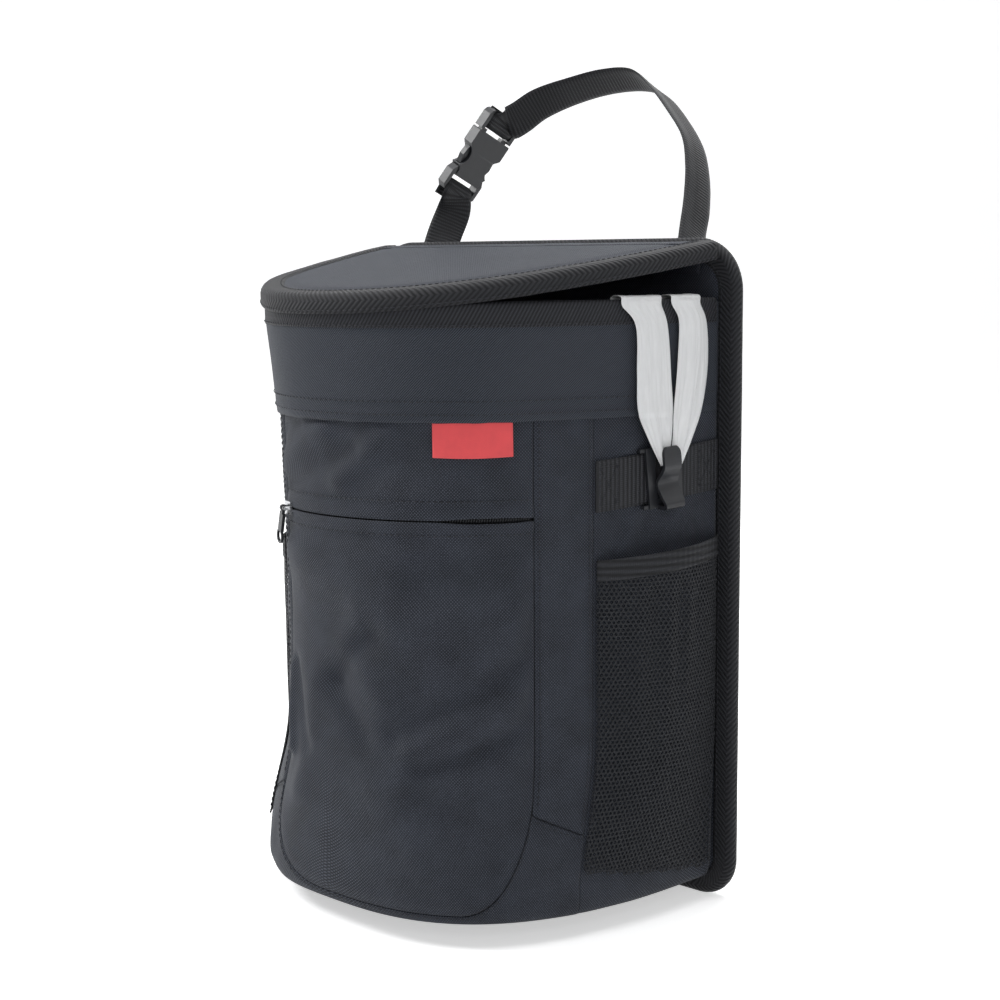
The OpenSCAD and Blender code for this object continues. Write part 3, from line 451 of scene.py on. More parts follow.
def along(points, step):
    """Places and directions at equal steps along a line of points."""
    points = np.array([tuple(p) for p in points])
    leg = np.linalg.norm(np.diff(points, axis=0), axis=1)
    run = np.concatenate([[0], np.cumsum(leg)])
    count = max(1, int(run[-1] / step))
    ds = (np.arange(count) + 0.5) * run[-1] / count
    places = np.stack([np.interp(ds, run, points[:, k]) for k in range(3)], 1)
    ahead = np.stack([np.interp(np.minimum(ds + 0.2, run[-1]), run, points[:, k]) for k in range(3)], 1)
    behind = np.stack([np.interp(np.maximum(ds - 0.2, 0), run, points[:, k]) for k in range(3)], 1)
    way = ahead - behind
    return places, way / np.linalg.norm(way, axis=1)[:, None]


def repeated(name, template, places, ways, finish, body, nodes=()):
    """Copies of one small operator-made shape, its x axis turned along each way."""
    one = mesh_of(name + "_one", template)
    verts = np.array([tuple(v.co) for v in one.vertices])
    faces = [tuple(p.vertices) for p in one.polygons]
    bpy.data.meshes.remove(one)
    points, polygons = [], []
    for k, (at, way) in enumerate(zip(places, ways)):
        turn = Vector(way).to_track_quat("X", "Z").to_matrix()
        points.append(verts @ np.array(turn).T + at)
        polygons += [tuple(i + k * len(verts) for i in face) for face in faces]
    mesh = bpy.data.meshes.new(name)
    mesh.from_pydata((np.concatenate(points) * MM).tolist(), [], polygons)
    mesh.shade_smooth()
    mesh.update()
    return place_piece(name, mesh, finish, body, nodes)


def line_on(surface, s0, s1, z, out, count=300):
    """Line of points on a surface, at a height that may follow the outline."""
    return [surface(s, height(z, s), out) for s in np.linspace(s0, s1, count)]


def topstitch(name, lines, body="tub", pitch=None, thick=0.55):
    """Rows of thread along lines, each stitch a slim ellipsoid."""
    pitch = pitch or sizes().stitch / MM
    one = bmesh.new()
    bmesh.ops.create_icosphere(one, subdivisions=1, radius=1)
    bmesh.ops.scale(one, vec=(pitch * STITCH_SHARE / 2, thick / 2, thick / 2), verts=one.verts)
    places, ways = zip(*[along(line, pitch) for line in lines])
    repeated(name, one, np.concatenate(places), np.concatenate(ways), "thread", body)


def crossed_box(a, b, c, d):
    """Sides and both diagonals of a stitched box, as pairs of its corners."""
    return (a, b), (b, c), (c, d), (d, a), (a, c), (d, b)


# ---------------------------------------------------------------- materials


class Nodes:
    """Short hand for building one material's node tree."""

    def __init__(self, name, colour, rough, sheen=0.0, specular=0.5):
        self.material = bpy.data.materials.new(name)
        self.material.use_nodes = True
        self.tree = self.material.node_tree
        self.shader = self.tree.nodes["Principled BSDF"]
        self.set("Base Color", (*colour, 1))
        self.set("Roughness", rough)
        self.set("Sheen Weight", sheen)
        self.set("Sheen Roughness", 0.5)
        self.set("Specular IOR Level", specular)
        self.colour = colour

    def set(self, socket, value):
        self.shader.inputs[socket].default_value = value

    def add(self, kind, **values):
        node = self.tree.nodes.new(kind)
        for key, value in values.items():
            setattr(node, key, value)
        return node

    def link(self, a, b):
        self.tree.links.new(a, b)

    def maths(self, operation, a, b=None):
        node = self.add("ShaderNodeMath", operation=operation)
        for k, value in enumerate((a, b)):
            if value is None:
                continue
            if isinstance(value, (int, float)):
                node.inputs[k].default_value = value
            else:
                self.link(value, node.inputs[k])
        return node.outputs[0]

    def times(self, a, b):
        return self.maths("MULTIPLY", a, b)

    def plus(self, a, b):
        return self.maths("ADD", a, b)

    def minus(self, a, b):
        return self.maths("SUBTRACT", a, b)

    def partly(self, factor, share):
        """Factor that only goes a share of its way down to 0."""
        return self.plus(self.times(factor, share), 1 - share)

    def uv(self):
        """Distances along and across the cloth, in millimetres."""
        node = self.add("ShaderNodeSeparateXYZ")
        self.link(self.add("ShaderNodeUVMap", uv_map="Cloth").outputs[0], node.inputs[0])
        return node.outputs[0], node.outputs[1]

    def wave(self, value, period):
        """Smooth ridge from 0 to 1, once in each period."""
        return self.partly(self.maths("SINE", self.times(value, 2 * math.pi / period)), 0.5)

    def noise(self, scale, detail, vector=None):
        """Noise on Object coordinates, its scale in patches per metre, or on another vector."""
        node = self.add("ShaderNodeTexNoise")
        node.inputs["Scale"].default_value = scale
        node.inputs["Detail"].default_value = detail
        self.link(vector or self.add("ShaderNodeTexCoord").outputs["Object"], node.inputs["Vector"])
        return node.outputs["Fac"]

    def bump(self, height, deep_mm, strength=1.0):
        node = self.add("ShaderNodeBump")
        node.inputs["Strength"].default_value = strength
        node.inputs["Distance"].default_value = deep_mm * MM
        self.link(height, node.inputs["Height"])
        self.link(node.outputs[0], self.shader.inputs["Normal"])

    def tint(self, factor, dark, light):
        """Base colour between two shares of the material's own, by a factor."""
        node = self.add("ShaderNodeMix", data_type="RGBA")
        node.inputs["A"].default_value = (*[c * dark for c in self.colour], 1)
        node.inputs["B"].default_value = (*[min(1, c * light) for c in self.colour], 1)
        self.link(factor, node.inputs["Factor"])
        self.link(node.outputs["Result"], self.shader.inputs["Base Color"])

    def roughness(self, factor, low, high):
        node = self.add("ShaderNodeMapRange")
        node.inputs["To Min"].default_value = low
        node.inputs["To Max"].default_value = high
        self.link(factor, node.inputs["Value"])
        self.link(node.outputs[0], self.shader.inputs["Roughness"])


def oxford_cloth(name, colour, period, dark, light):
    """Coarse polyester: threads that cross on the diagonal, with small shiny floats."""
    m = Nodes(name, colour, 0.62, 0.06, 0.16)
    u, v = m.uv()
    weave = m.times(*(m.wave(way, period * 1.414) for way in (m.plus(u, v), m.minus(u, v))))
    m.tint(m.plus(m.times(weave, 0.75), m.times(m.noise(60, 4), 0.35)), dark, light)
    m.roughness(weave, 0.7, 0.46)
    m.bump(weave, 0.3)
    return m.material


def herringbone(name, colour, wide, dark=0.45, light=1.8):
    """Woven tape whose slanted ribs meet in the middle of its width."""
    m = Nodes(name, colour, 0.55, 0.04, 0.2)
    u, v = m.uv()
    fold = m.maths("ABSOLUTE", m.minus(v, wide / 2))
    ribs = m.wave(m.plus(u, fold), 2.9)
    height = m.times(ribs, m.partly(m.wave(m.minus(u, fold), 0.75), 0.35))
    m.tint(height, dark, light)
    m.roughness(ribs, 0.7, 0.42)
    m.bump(height, 0.35)
    return m.material


def twill(name, colour, period, lean, dark=0.5, light=1.7):
    """Tape or band with ribs that all lean one way."""
    m = Nodes(name, colour, 0.56, 0.04, 0.18)
    u, v = m.uv()
    ribs = m.wave(m.plus(u, m.times(v, lean)), period)
    height = m.times(ribs, m.partly(m.wave(m.minus(v, u), period * 0.5), 0.4))
    m.tint(height, dark, light)
    m.roughness(ribs, 0.68, 0.45)
    m.bump(height, 0.28, 0.9)
    return m.material


def ribbed(name, colour, across, yarn, deep, light):
    """Webbing: short raised yarns in columns, each column set half a yarn from the next."""
    m = Nodes(name, colour, 0.5, 0.03, 0.24)
    u, v = m.uv()
    shift = m.times(m.maths("FLOOR", m.maths("DIVIDE", u, across)), yarn / 2)
    height = m.times(m.wave(u, across), m.partly(m.wave(m.plus(v, shift), yarn), 0.6))
    m.tint(height, 0.4, light)
    m.roughness(height, 0.66, 0.4)
    m.bump(height, deep)
    return m.material


def corded(name, colour):
    """Elastic band: fine cords along its length, crossed by small yarns."""
    m = Nodes(name, colour, 0.55, 0.03, 0.2)
    u, v = m.uv()
    height = m.times(m.wave(v, 3.4), m.partly(m.wave(u, 0.9), 0.45))
    m.tint(height, 0.4, 1.8)
    m.roughness(height, 0.68, 0.45)
    m.bump(height, 0.25)
    return m.material


def plain_thread(name, colour):
    """Twisted thread, a little uneven in tone."""
    m = Nodes(name, colour, 0.5, 0.03, 0.2)
    m.tint(m.noise(900, 2), 0.6, 1.5)
    m.bump(m.noise(2500, 1), 0.08)
    return m.material


def moulded(name, colour, rough=0.34):
    """Moulded plastic with a fine spark-worn grain."""
    m = Nodes(name, colour, rough, 0.0, 0.4)
    grain = m.noise(2600, 2)
    m.tint(m.noise(90, 4), 0.8, 1.35)
    m.roughness(grain, rough - 0.06, rough + 0.12)
    m.bump(grain, 0.05, 0.6)
    return m.material


def metal(name, colour):
    """Plated metal with faint smears."""
    m = Nodes(name, colour, 0.22)
    m.set("Metallic", 1.0)
    m.tint(m.noise(500, 3), 0.75, 1.1)
    m.roughness(m.noise(1200, 3), 0.16, 0.34)
    return m.material


def film(name, colour):
    """Thin milky film with fine creases along its length."""
    m = Nodes(name, colour, 0.28)
    m.set("Subsurface Weight", 0.25)
    m.set("Subsurface Radius", (0.004, 0.004, 0.004))
    m.set("Subsurface Scale", 1.0)
    u, v = m.uv()
    place = m.add("ShaderNodeCombineXYZ")
    m.link(m.times(u, 0.55), place.inputs[0])
    m.link(m.times(v, 0.07), place.inputs[1])
    crease = m.noise(1.0, 4, place.outputs[0])
    m.tint(crease, 0.86, 1.05)
    m.bump(crease, 0.7, 0.6)
    return m.material


def coated(name, colour):
    """Leak-proof lining: smooth coated cloth that still shows its weave faintly."""
    m = Nodes(name, colour, 0.4)
    u, v = m.uv()
    m.tint(m.noise(40, 4), 0.8, 1.25)
    m.bump(m.times(m.wave(u, 1.0), m.wave(v, 1.0)), 0.05, 0.6)
    return m.material


def woven_label(name, colour):
    """Fine satin weave."""
    m = Nodes(name, colour, 0.6, 0.3, 0.35)
    u, v = m.uv()
    weave = m.times(m.wave(u, 0.55), m.wave(v, 0.45))
    m.tint(m.plus(m.times(weave, 0.6), m.times(m.noise(120, 3), 0.5)), 0.75, 1.2)
    m.bump(weave, 0.1, 0.8)
    return m.material


MATERIALS = {}


class CarBinColours(bpy.types.PropertyGroup):
    """Colours of the bin's cloth, trims and plastics."""

    def tone(name, description, default):
        return bpy.props.FloatVectorProperty(name=name, description=description, default=default, subtype="COLOR",
                                             min=0, max=1)

    cloth: tone("Cloth", "Coarse polyester of the panels", (0.021, 0.024, 0.032))
    tape: tone("Tape", "Woven tapes round the lid, rim and back panel", (0.010, 0.0105, 0.013))
    band: tone("Collar", "Twill band round the mouth", (0.024, 0.028, 0.037))
    webbing: tone("Webbing", "Side webbing and hanging strap", (0.013, 0.0137, 0.0165))
    net: tone("Mesh", "Mesh of the side pockets", (0.014, 0.015, 0.018))
    thread: tone("Thread", "Topstitching", (0.017, 0.018, 0.023))
    plastic: tone("Plastic", "Moulded clips and buckle", (0.013, 0.014, 0.017))
    slider: tone("Slider", "Metal zip slider", (0.55, 0.56, 0.58))
    lining: tone("Lining", "Leak-proof lining", (0.035, 0.037, 0.043))
    bag: tone("Bag", "Film of the liner bag", (0.93, 0.94, 0.955))
    label: tone("Label", "Bare woven label", (0.80, 0.078, 0.088))


class CarBinSizes(bpy.types.PropertyGroup):
    """Finish of the cloth and stitches."""

    stitch: bpy.props.FloatProperty(name="Stitch", description="Length of one topstitch and its gap",
                                    default=0.0031, min=0.002, max=0.006, unit="LENGTH")
    net_cell: bpy.props.FloatProperty(name="Mesh cell", description="Width of one opening of the mesh",
                                      default=0.0023, min=0.0015, max=0.004, unit="LENGTH")
    drape: bpy.props.FloatProperty(name="Drape", description="Depth of the folds in the cloth, as a share",
                                   default=1.0, min=0.0, max=1.5, subtype="FACTOR")
    light: bpy.props.FloatProperty(name="Light", description="Level of the studio light, as a share",
                                   default=1.0, min=0.2, max=2.0, subtype="FACTOR")


def sizes():
    return bpy.context.scene.car_bin_sizes


class CARBIN_OT_materials(bpy.types.Operator):
    """Make the cloths, tapes, plastics and film"""

    bl_idname = "carbin.materials"
    bl_label = "Materials"

    def execute(self, context):
        c = context.scene.car_bin_colours
        MATERIALS.update(
            cloth=oxford_cloth("Cloth", c.cloth, 1.12, 0.08, 3.5),
            lid_cloth=oxford_cloth("Lid cloth", c.cloth, 0.9, 0.9, 2.2),
            band=twill("Collar twill", c.band, 1.25, -1.0, 0.2, 2.8),
            tape=herringbone("Lid tape", c.tape, 14.0),
            edge=herringbone("Edge tape", c.tape, 15.0, 0.6, 1.6),
            rim=twill("Rim tape", c.tape, 1.9, -0.55, 0.5, 3.0),
            web=ribbed("Webbing", c.webbing, 2.4, 0.95, 0.3, 2.3),
            strap=ribbed("Strap", c.webbing, STRAP_RIB, 1.0, 0.2, 1.7),
            elastic=corded("Elastic", c.webbing),
            net=plain_thread("Mesh thread", c.net),
            thread=plain_thread("Thread", c.thread),
            plastic=moulded("Moulded plastic", c.plastic),
            slider=metal("Slider metal", c.slider),
            lining=coated("Lining", c.lining),
            board=coated("Board", c.lining),
            zip_cloth=twill("Zip tape", c.tape, 1.2, 1.0),
            teeth=moulded("Zip coil", c.plastic, 0.3),
            film=film("Bag film", c.bag),
            label=woven_label("Label", c.label),
        )
        return {"FINISHED"}


# ---------------------------------------------------------------- back panel


def rounded_half(z):
    """Half width of the back panel at a height."""
    if z > PANEL_H - TOP_R:
        return PANEL_HALF - TOP_R + math.sqrt(max(0, TOP_R**2 - (z - PANEL_H + TOP_R) ** 2))
    if z < FOOT_R:
        return PANEL_HALF - FOOT_R + math.sqrt(max(0, FOOT_R**2 - (FOOT_R - z) ** 2))
    return PANEL_HALF


def panel_edge(inset):
    """Closed outline of the back panel, inset from its edge, as (x, z)."""
    points, steps = [], 14
    corners = ((-1, PANEL_H - TOP_R, TOP_R, 180), (1, PANEL_H - TOP_R, TOP_R, 90),
               (1, FOOT_R, FOOT_R, 0), (-1, FOOT_R, FOOT_R, -90))
    for side, z, radius, start in corners:
        for i in range(steps + 1):
            turn = math.radians(start - 90 * i / steps)
            points.append((side * (PANEL_HALF - radius) + (radius - inset) * math.cos(turn),
                           z + (radius - inset) * math.sin(turn)))
    full = []
    for a, b in zip(points, points[1:] + points[:1]):
        gap = math.dist(a, b)
        parts = max(1, round(gap / 8)) if gap > 20 else 1
        full += [(mix(a[0], b[0], k / parts), mix(a[1], b[1], k / parts)) for k in range(parts)]
    return full


class CARBIN_OT_back(bpy.types.Operator):
    """Padded back panel with its folded herringbone tape and seam"""

    bl_idname = "carbin.back"
    bl_label = "Back panel"

    def execute(self, context):
        self.pad()
        self.tape()
        return {"FINISHED"}

    def pad(self):
        bm = bmesh.new()
        inset = 3.0

        def puffed(side):
            def place(u, v):
                z = inset + (PANEL_H - 2 * inset) * eased(v)
                half = rounded_half(z) - inset
                x = mix(-half, half, eased(u))
                edge = min(half - abs(x), z - inset, PANEL_H - inset - z)
                plump = (PANEL_T / 2 - 1.2) * math.sqrt(max(0, min(1, edge / 2.5)))
                plump += smooth(8, 16 if side > 0 else 11, edge)
                if side > 0:
                    for mid in STRAP_X:
                        press = smooth(13.5, 11.0, abs(x - mid)) * smooth(PANEL_H - 55, PANEL_H - 50, z)
                        plump -= 0.6 * press * smooth(0, 3, edge)
                    plump += ripple(x, z, 45, 0.16, 3) * smooth(10, 24, edge)
                return Vector((x, FACE_Y + PANEL_T / 2 + side * plump, z))
            return place

        for side in (-1, 1):
            surface_grid(bm, 90, 110, puffed(side),
                         lambda u, v: (mix(-PANEL_HALF, PANEL_HALF, eased(u)), PANEL_H * eased(v)))
        joined(bm)
        new_piece("back_pad", bm, "cloth", "tub", ["back_panel"])

    def tape(self):
        bm = bmesh.new()
        t, w = PANEL_T, EDGE_TAPE_W
        front = [(w, 0.15), (w - 0.5, -0.02), (9, 0), (6, -0.05), (3.6, 0.02), (1.6, 0.55), (0.45, 1.7)]
        fold = front + [(0, t / 2)] + [(inset, t - y) for inset, y in front[::-1]]
        edge = panel_edge(0)
        run, across = run_of(edge + edge[:1]), run_of(fold)
        outlines = [panel_edge(inset) for inset, y in fold]
        n, m = len(edge), len(fold)

        def place(u, v):
            i, j = round(u * n), round(v * (m - 1))
            x, z = outlines[j][i % n]
            pucker = ripple(run[i], j * 3, 9, 0.22, 7)
            return Vector((x, FACE_Y + fold[j][1] + pucker * (0.5 if 2 < j < m - 3 else 0.2), z))

        surface_grid(bm, n, m - 1, place, lambda u, v: (run[round(u * n)], across[round(v * (m - 1))] % 15.1))
        joined(bm)
        outward(bm, Vector((0, (FACE_Y + PANEL_T / 2) * MM, PANEL_H / 2 * MM)))
        piece = thicken(new_piece("back_tape", bm, "edge", "tub", ["back_binding"]), 0.8)
        ring = panel_edge(EDGE_TAPE_W - 1.7)
        topstitch("back_tape_stitches", [[(x, y, z) for x, z in ring + ring[:1]]
                                         for y in (FACE_Y - 0.12, FACE_Y + PANEL_T + 0.12)])


# ---------------------------------------------------------------- tub


class CARBIN_OT_collar(bpy.types.Operator):
    """Twill collar, the tape folded over the rim and their rows of stitches"""

    bl_idname = "carbin.collar"
    bl_label = "Collar and rim"

    def execute(self, context):
        def out(s, z):
            edge = smooth(COLLAR_Z, COLLAR_Z + 3, z)
            seam = smooth(COLLAR_Z + 16, COLLAR_Z + 10, z)
            groove = seam * (1 - abs(2 * smooth(COLLAR_Z + 3, COLLAR_Z + 11, z) - 1))
            return 0.25 + 0.35 * edge - 0.2 * groove \
                + ripple(s, z, 38, 0.5, 2) * smooth(RIM_Z - 10, RIM_Z - 30, z) \
                + ripple(s, z, 7, 0.22, 4) * smooth(COLLAR_Z + 12, COLLAR_Z + 4, z)

        tub_piece("collar", "collar_band", -SIDE_END, SIDE_END,
                  lambda s: COLLAR_Z - 0.4 + 0.35 * noise.noise(Vector((s / 9, 1, 1))), RIM_Z - 2.1, 260, 34, out,
                  "band", surface=collar)
        self.rim_tape()
        rows = [line_on(collar, -SIDE_END + 2, SIDE_END - 2, COLLAR_Z + z, 0.85) for z in (3.4, 9.6)]
        rows.append(line_on(collar, -SIDE_END + 3, SIDE_END - 3, RIM_Z - 10.6, 1.4))
        topstitch("collar_stitches", rows)
        return {"FINISHED"}

    def rim_tape(self):
        low, gone = -12, -CLOTH_T - 4.6
        fold = [(0.15, low), (1.0, low + 0.2), (1.15, low + 1), (1.1, -8), (1.15, -4), (1.1, -1.9), (0.6, -0.6),
                (-0.7, -0.05), (gone / 2, 0.05), (gone + 1, -0.1), (gone, -0.9), (gone - 0.5, -2.2), (gone - 0.5, -7),
                (gone - 0.4, low)]
        across = run_of(fold)
        bm = bmesh.new()
        end, m = SIDE_END - 2, len(fold) - 1

        def place(u, v):
            q = fold[round(v * m)]
            s = mix(-end, end, u)
            return collar(s, RIM_Z + q[1], q[0] + ripple(s, q[1], 12, 0.2, 5))

        surface_grid(bm, 260, m, place, lambda u, v: (mix(-end, end, u), across[round(v * m)]))
        facing_up(bm)
        piece = thicken(new_piece("rim_tape", bm, "rim", "tub", ["rim_binding"]), 0.7)


class CARBIN_OT_front(bpy.types.Operator):
    """Front panels with their draped folds, zip, seams and label"""

    bl_idname = "carbin.front"
    bl_label = "Front and zip"

    def execute(self, context):
        drape = sizes().drape

        def upper_out(s, z):
            seam = near_seam(min(s - SEAM_LEFT, SEAM_RIGHT - s), 7)
            free = seam * near_seam(COLLAR_Z - z, 4) * near_seam(z - ZIP_Z - 6, 9)
            lip = 0.5 * smooth(ZIP_Z + 8, ZIP_Z + 4, z)
            draped = 2.3 * folds(s, z, UPPER_RIDGES, UPPER_VALLEYS) + ripple(s, z, 24, 0.7, 9)
            return 0.45 * seam + lip + drape * free * draped

        def pocket_out(s, z):
            side = min(s - SEAM_LEFT, SEAM_RIGHT - s)
            seam = near_seam(side, 7) * near_seam(z - pocket_low(s), 6)
            free = near_seam(side, 12) * near_seam(z - pocket_low(s), 12) * near_seam(ZIP_Z - 8 - z, 9)
            lip = 0.5 * smooth(ZIP_Z - 9, ZIP_Z - 5, z)
            pinch = 0.35 * math.sin(s / 2.4) * math.exp(-max(0, ZIP_Z - 6 - z) / 5) * smooth(ZIP_Z - 2, ZIP_Z - 6, z)
            swell = 1.4 * math.sin(math.pi * min(1, max(0, (z - 20) / 180))) ** 1.2
            draped = swell + 2.4 * folds(s, z, FRONT_RIDGES, FRONT_VALLEYS) + ripple(s, z, 30, 0.9, 11)
            return 0.6 * seam + lip + 0.25 * pinch + drape * free * draped

        left, right = SEAM_LEFT + SEAM_GAP, SEAM_RIGHT - SEAM_GAP
        tub_piece("front_upper", "front_upper_panel", left, right, lambda s: zip_edge(s, 1), UNDER_COLLAR, 120, 36,
                  upper_out)
        tub_piece("front_pocket", "front_pocket_panel", left, right, pocket_low, lambda s: zip_edge(s, -1), 150, 150,
                  pocket_out)
        self.zip()
        self.seams()
        self.label()
        return {"FINISHED"}

    def zip(self):
        tub_piece("zip_tape_cloth", "zip_tape", SEAM_LEFT + 1, SEAM_RIGHT - 1, ZIP_Z - 8.5, ZIP_Z + 8.5, 60, 6,
                  lambda s, z: -2.6, "zip_cloth", thick=0.8)
        bm = bmesh.new()
        bmesh.ops.create_cone(bm, cap_ends=True, segments=8, radius1=0.42, radius2=0.42, depth=2.6)
        bmesh.ops.bevel(bm, geom=bm.edges[:], offset=0.12, offset_type="OFFSET", segments=1, profile=0.5,
                        affect="EDGES", material=-1)
        bmesh.ops.rotate(bm, verts=bm.verts, cent=(0, 0, 0), matrix=Matrix.Rotation(0.25, 3, "Y"))
        places, ways = along(line_on(tub, SEAM_LEFT + 1.5, SEAM_RIGHT - 1.5, ZIP_Z, -1.55, 120), 1.25)
        repeated("zip_teeth", bm, places, ways, "teeth", "tub", ["zip_coil"])
        topstitch("zip_stitches", [line_on(tub, SEAM_LEFT + 2, SEAM_RIGHT - 2, z, 1.0, 120)
                                   for z in (ZIP_Z + 9.5, ZIP_Z - 6.8)])

    def seams(self):
        """Topstitching on the strips beside the front, along the pocket's hem and over the gusset's joins."""
        topstitch("strip_stitches", [[tub(seam + side * off, z, 1.2) for z in np.linspace(low, COLLAR_Z - 1, 120)]
                                     for seam, side in ((SEAM_RIGHT, 1), (SEAM_LEFT, -1))
                                     for off, low in ((2.6, 66), (STRIP_W - 2.6, 54))])
        hem = line_on(tub, SEAM_LEFT + 0.4, SEAM_RIGHT - 0.4, lambda s: pocket_low(s) - 1.6, 0.8)
        ends = [line_on(tub, s0, s1, lambda s: join_low(s) - 2.2, 0.95, 20)
                for s0, s1 in ((SEAM_RIGHT + 1, SIDE_FROM - 1), (SIDE_LEFT + 1, SEAM_LEFT - 1))]
        topstitch("gusset_stitches", [hem, *ends])

    def label(self):
        left, wide, tall = 64, 39, 16.5

        def out(s, z):
            down = (COLLAR_Z - z) / tall
            return 1.5 + 0.9 * down + 0.35 * math.sin((s - left) / wide * math.pi * 1.5) * down

        tub_piece("woven_label", "label", left, left + wide,
                  lambda s: COLLAR_Z - tall - 0.5 * math.sin((s - left) / wide * math.pi), COLLAR_Z + 0.2, 60, 26, out,
                  "label", thick=0.5)


def zip_edge(s, side):
    """Edge of the cloth along the zip: nearly closed, with a slit that shows the teeth and room at both ends."""
    slit = 0.95 * smooth(62, 84, s) * smooth(112, 98, s)
    slider_room = 0.5 * smooth(-26, -36, s) + 0.45 * smooth(101, 107, s)
    return ZIP_Z + side * (0.4 + slit + slider_room)


class CARBIN_OT_sides(bpy.types.Operator):
    """Strips, side panels, gusset and base of the tub"""

    bl_idname = "carbin.sides"
    bl_label = "Sides and base"

    def execute(self, context):
        drape = sizes().drape

        def strip_out(s0, s1):
            def out(s, z):
                edge = near_seam(min(s - s0, s1 - s), 3.5)
                return 0.1 + 0.7 * edge + ripple(s, z, 20, 0.5, 13) * edge * near_seam(COLLAR_Z - z, 8)
            return out

        def side_out(s, z):
            a = abs(s)
            edge = near_seam(min(a - SIDE_FROM if s > 0 else SIDE_LEFT - s, SIDE_END - a), 7)
            band = 1 - smooth(16, 11, abs(z - web_mid(s)))
            draped = folds(a, z, SIDE_RIDGES, SIDE_VALLEYS) - 0.3 + ripple(s, z, 22, 0.5, 17)
            return drape * edge * band * near_seam(COLLAR_Z - z, 5) * draped

        for side, s0, s1 in (("right", SEAM_RIGHT, SIDE_FROM), ("left", SIDE_LEFT, SEAM_LEFT)):
            tub_piece(f"strip_cloth_{side}", f"strip_{side}", s0 + SEAM_GAP, s1 - SEAM_GAP, lambda s: join_low(s) + 0.3,
                      UNDER_COLLAR, 36, 110, strip_out(s0, s1))
        for side, s0, s1, cols in (("right", SIDE_FROM + SEAM_GAP, SIDE_END, 60),
                                   ("left", -SIDE_END, SIDE_LEFT - SEAM_GAP, 90)):
            tub_piece(f"side_cloth_{side}", f"side_panel_{side}", s0, s1, OVER_BASE, UNDER_COLLAR, cols, 120, side_out)
        self.gusset()
        self.base()
        return {"FINISHED"}

    def gusset(self):
        def out(s, z):
            top = gusset_top(s) - z
            rough = ripple(s, z, 16, 0.6, 19) * near_seam(top, 5) * near_seam(z - BASE_Z - 3, 6)
            return 0.1 + 0.4 * near_seam(top, 3) + rough

        tub_piece("gusset", "base_gusset", SIDE_LEFT + SEAM_GAP, SIDE_FROM - SEAM_GAP, OVER_BASE, gusset_top, 240, 26,
                  out)

    def base(self):
        bm = bmesh.new()

        def ring(u):
            if u < 0.8:
                s = mix(-SIDE_END, SIDE_END, u / 0.8)
                p = tub(s, BASE_Z + FOOT_H, -FOOT_IN + 1)
                return Vector((p.x, min(FACE_Y - 0.4, p.y), 0))
            a, b = ring(0.7999), ring(0)
            return Vector((mix(a.x, b.x, (u - 0.8) / 0.2), FACE_Y - 0.4, 0))

        centre = Vector((0, FACE_Y - TUB_D * 0.45, 0))

        def place(u, v):
            p = centre.lerp(ring(u), v)
            round_up = 1.6 * max(0, (v - 0.94) / 0.06) ** 2
            return Vector((p.x, p.y, BASE_Z + round_up + ripple(p.x, p.y, 40, 0.3, 23) * (1 - v)))

        surface_grid(bm, 160, 24, place, lambda u, v: (ring(u).x * v, ring(u).y * v))
        joined(bm)
        outward(bm, Vector((0, 0, 0.1)))
        piece = thicken(new_piece("base_cloth", bm, "cloth", "tub", ["base_panel"]), CLOTH_T)


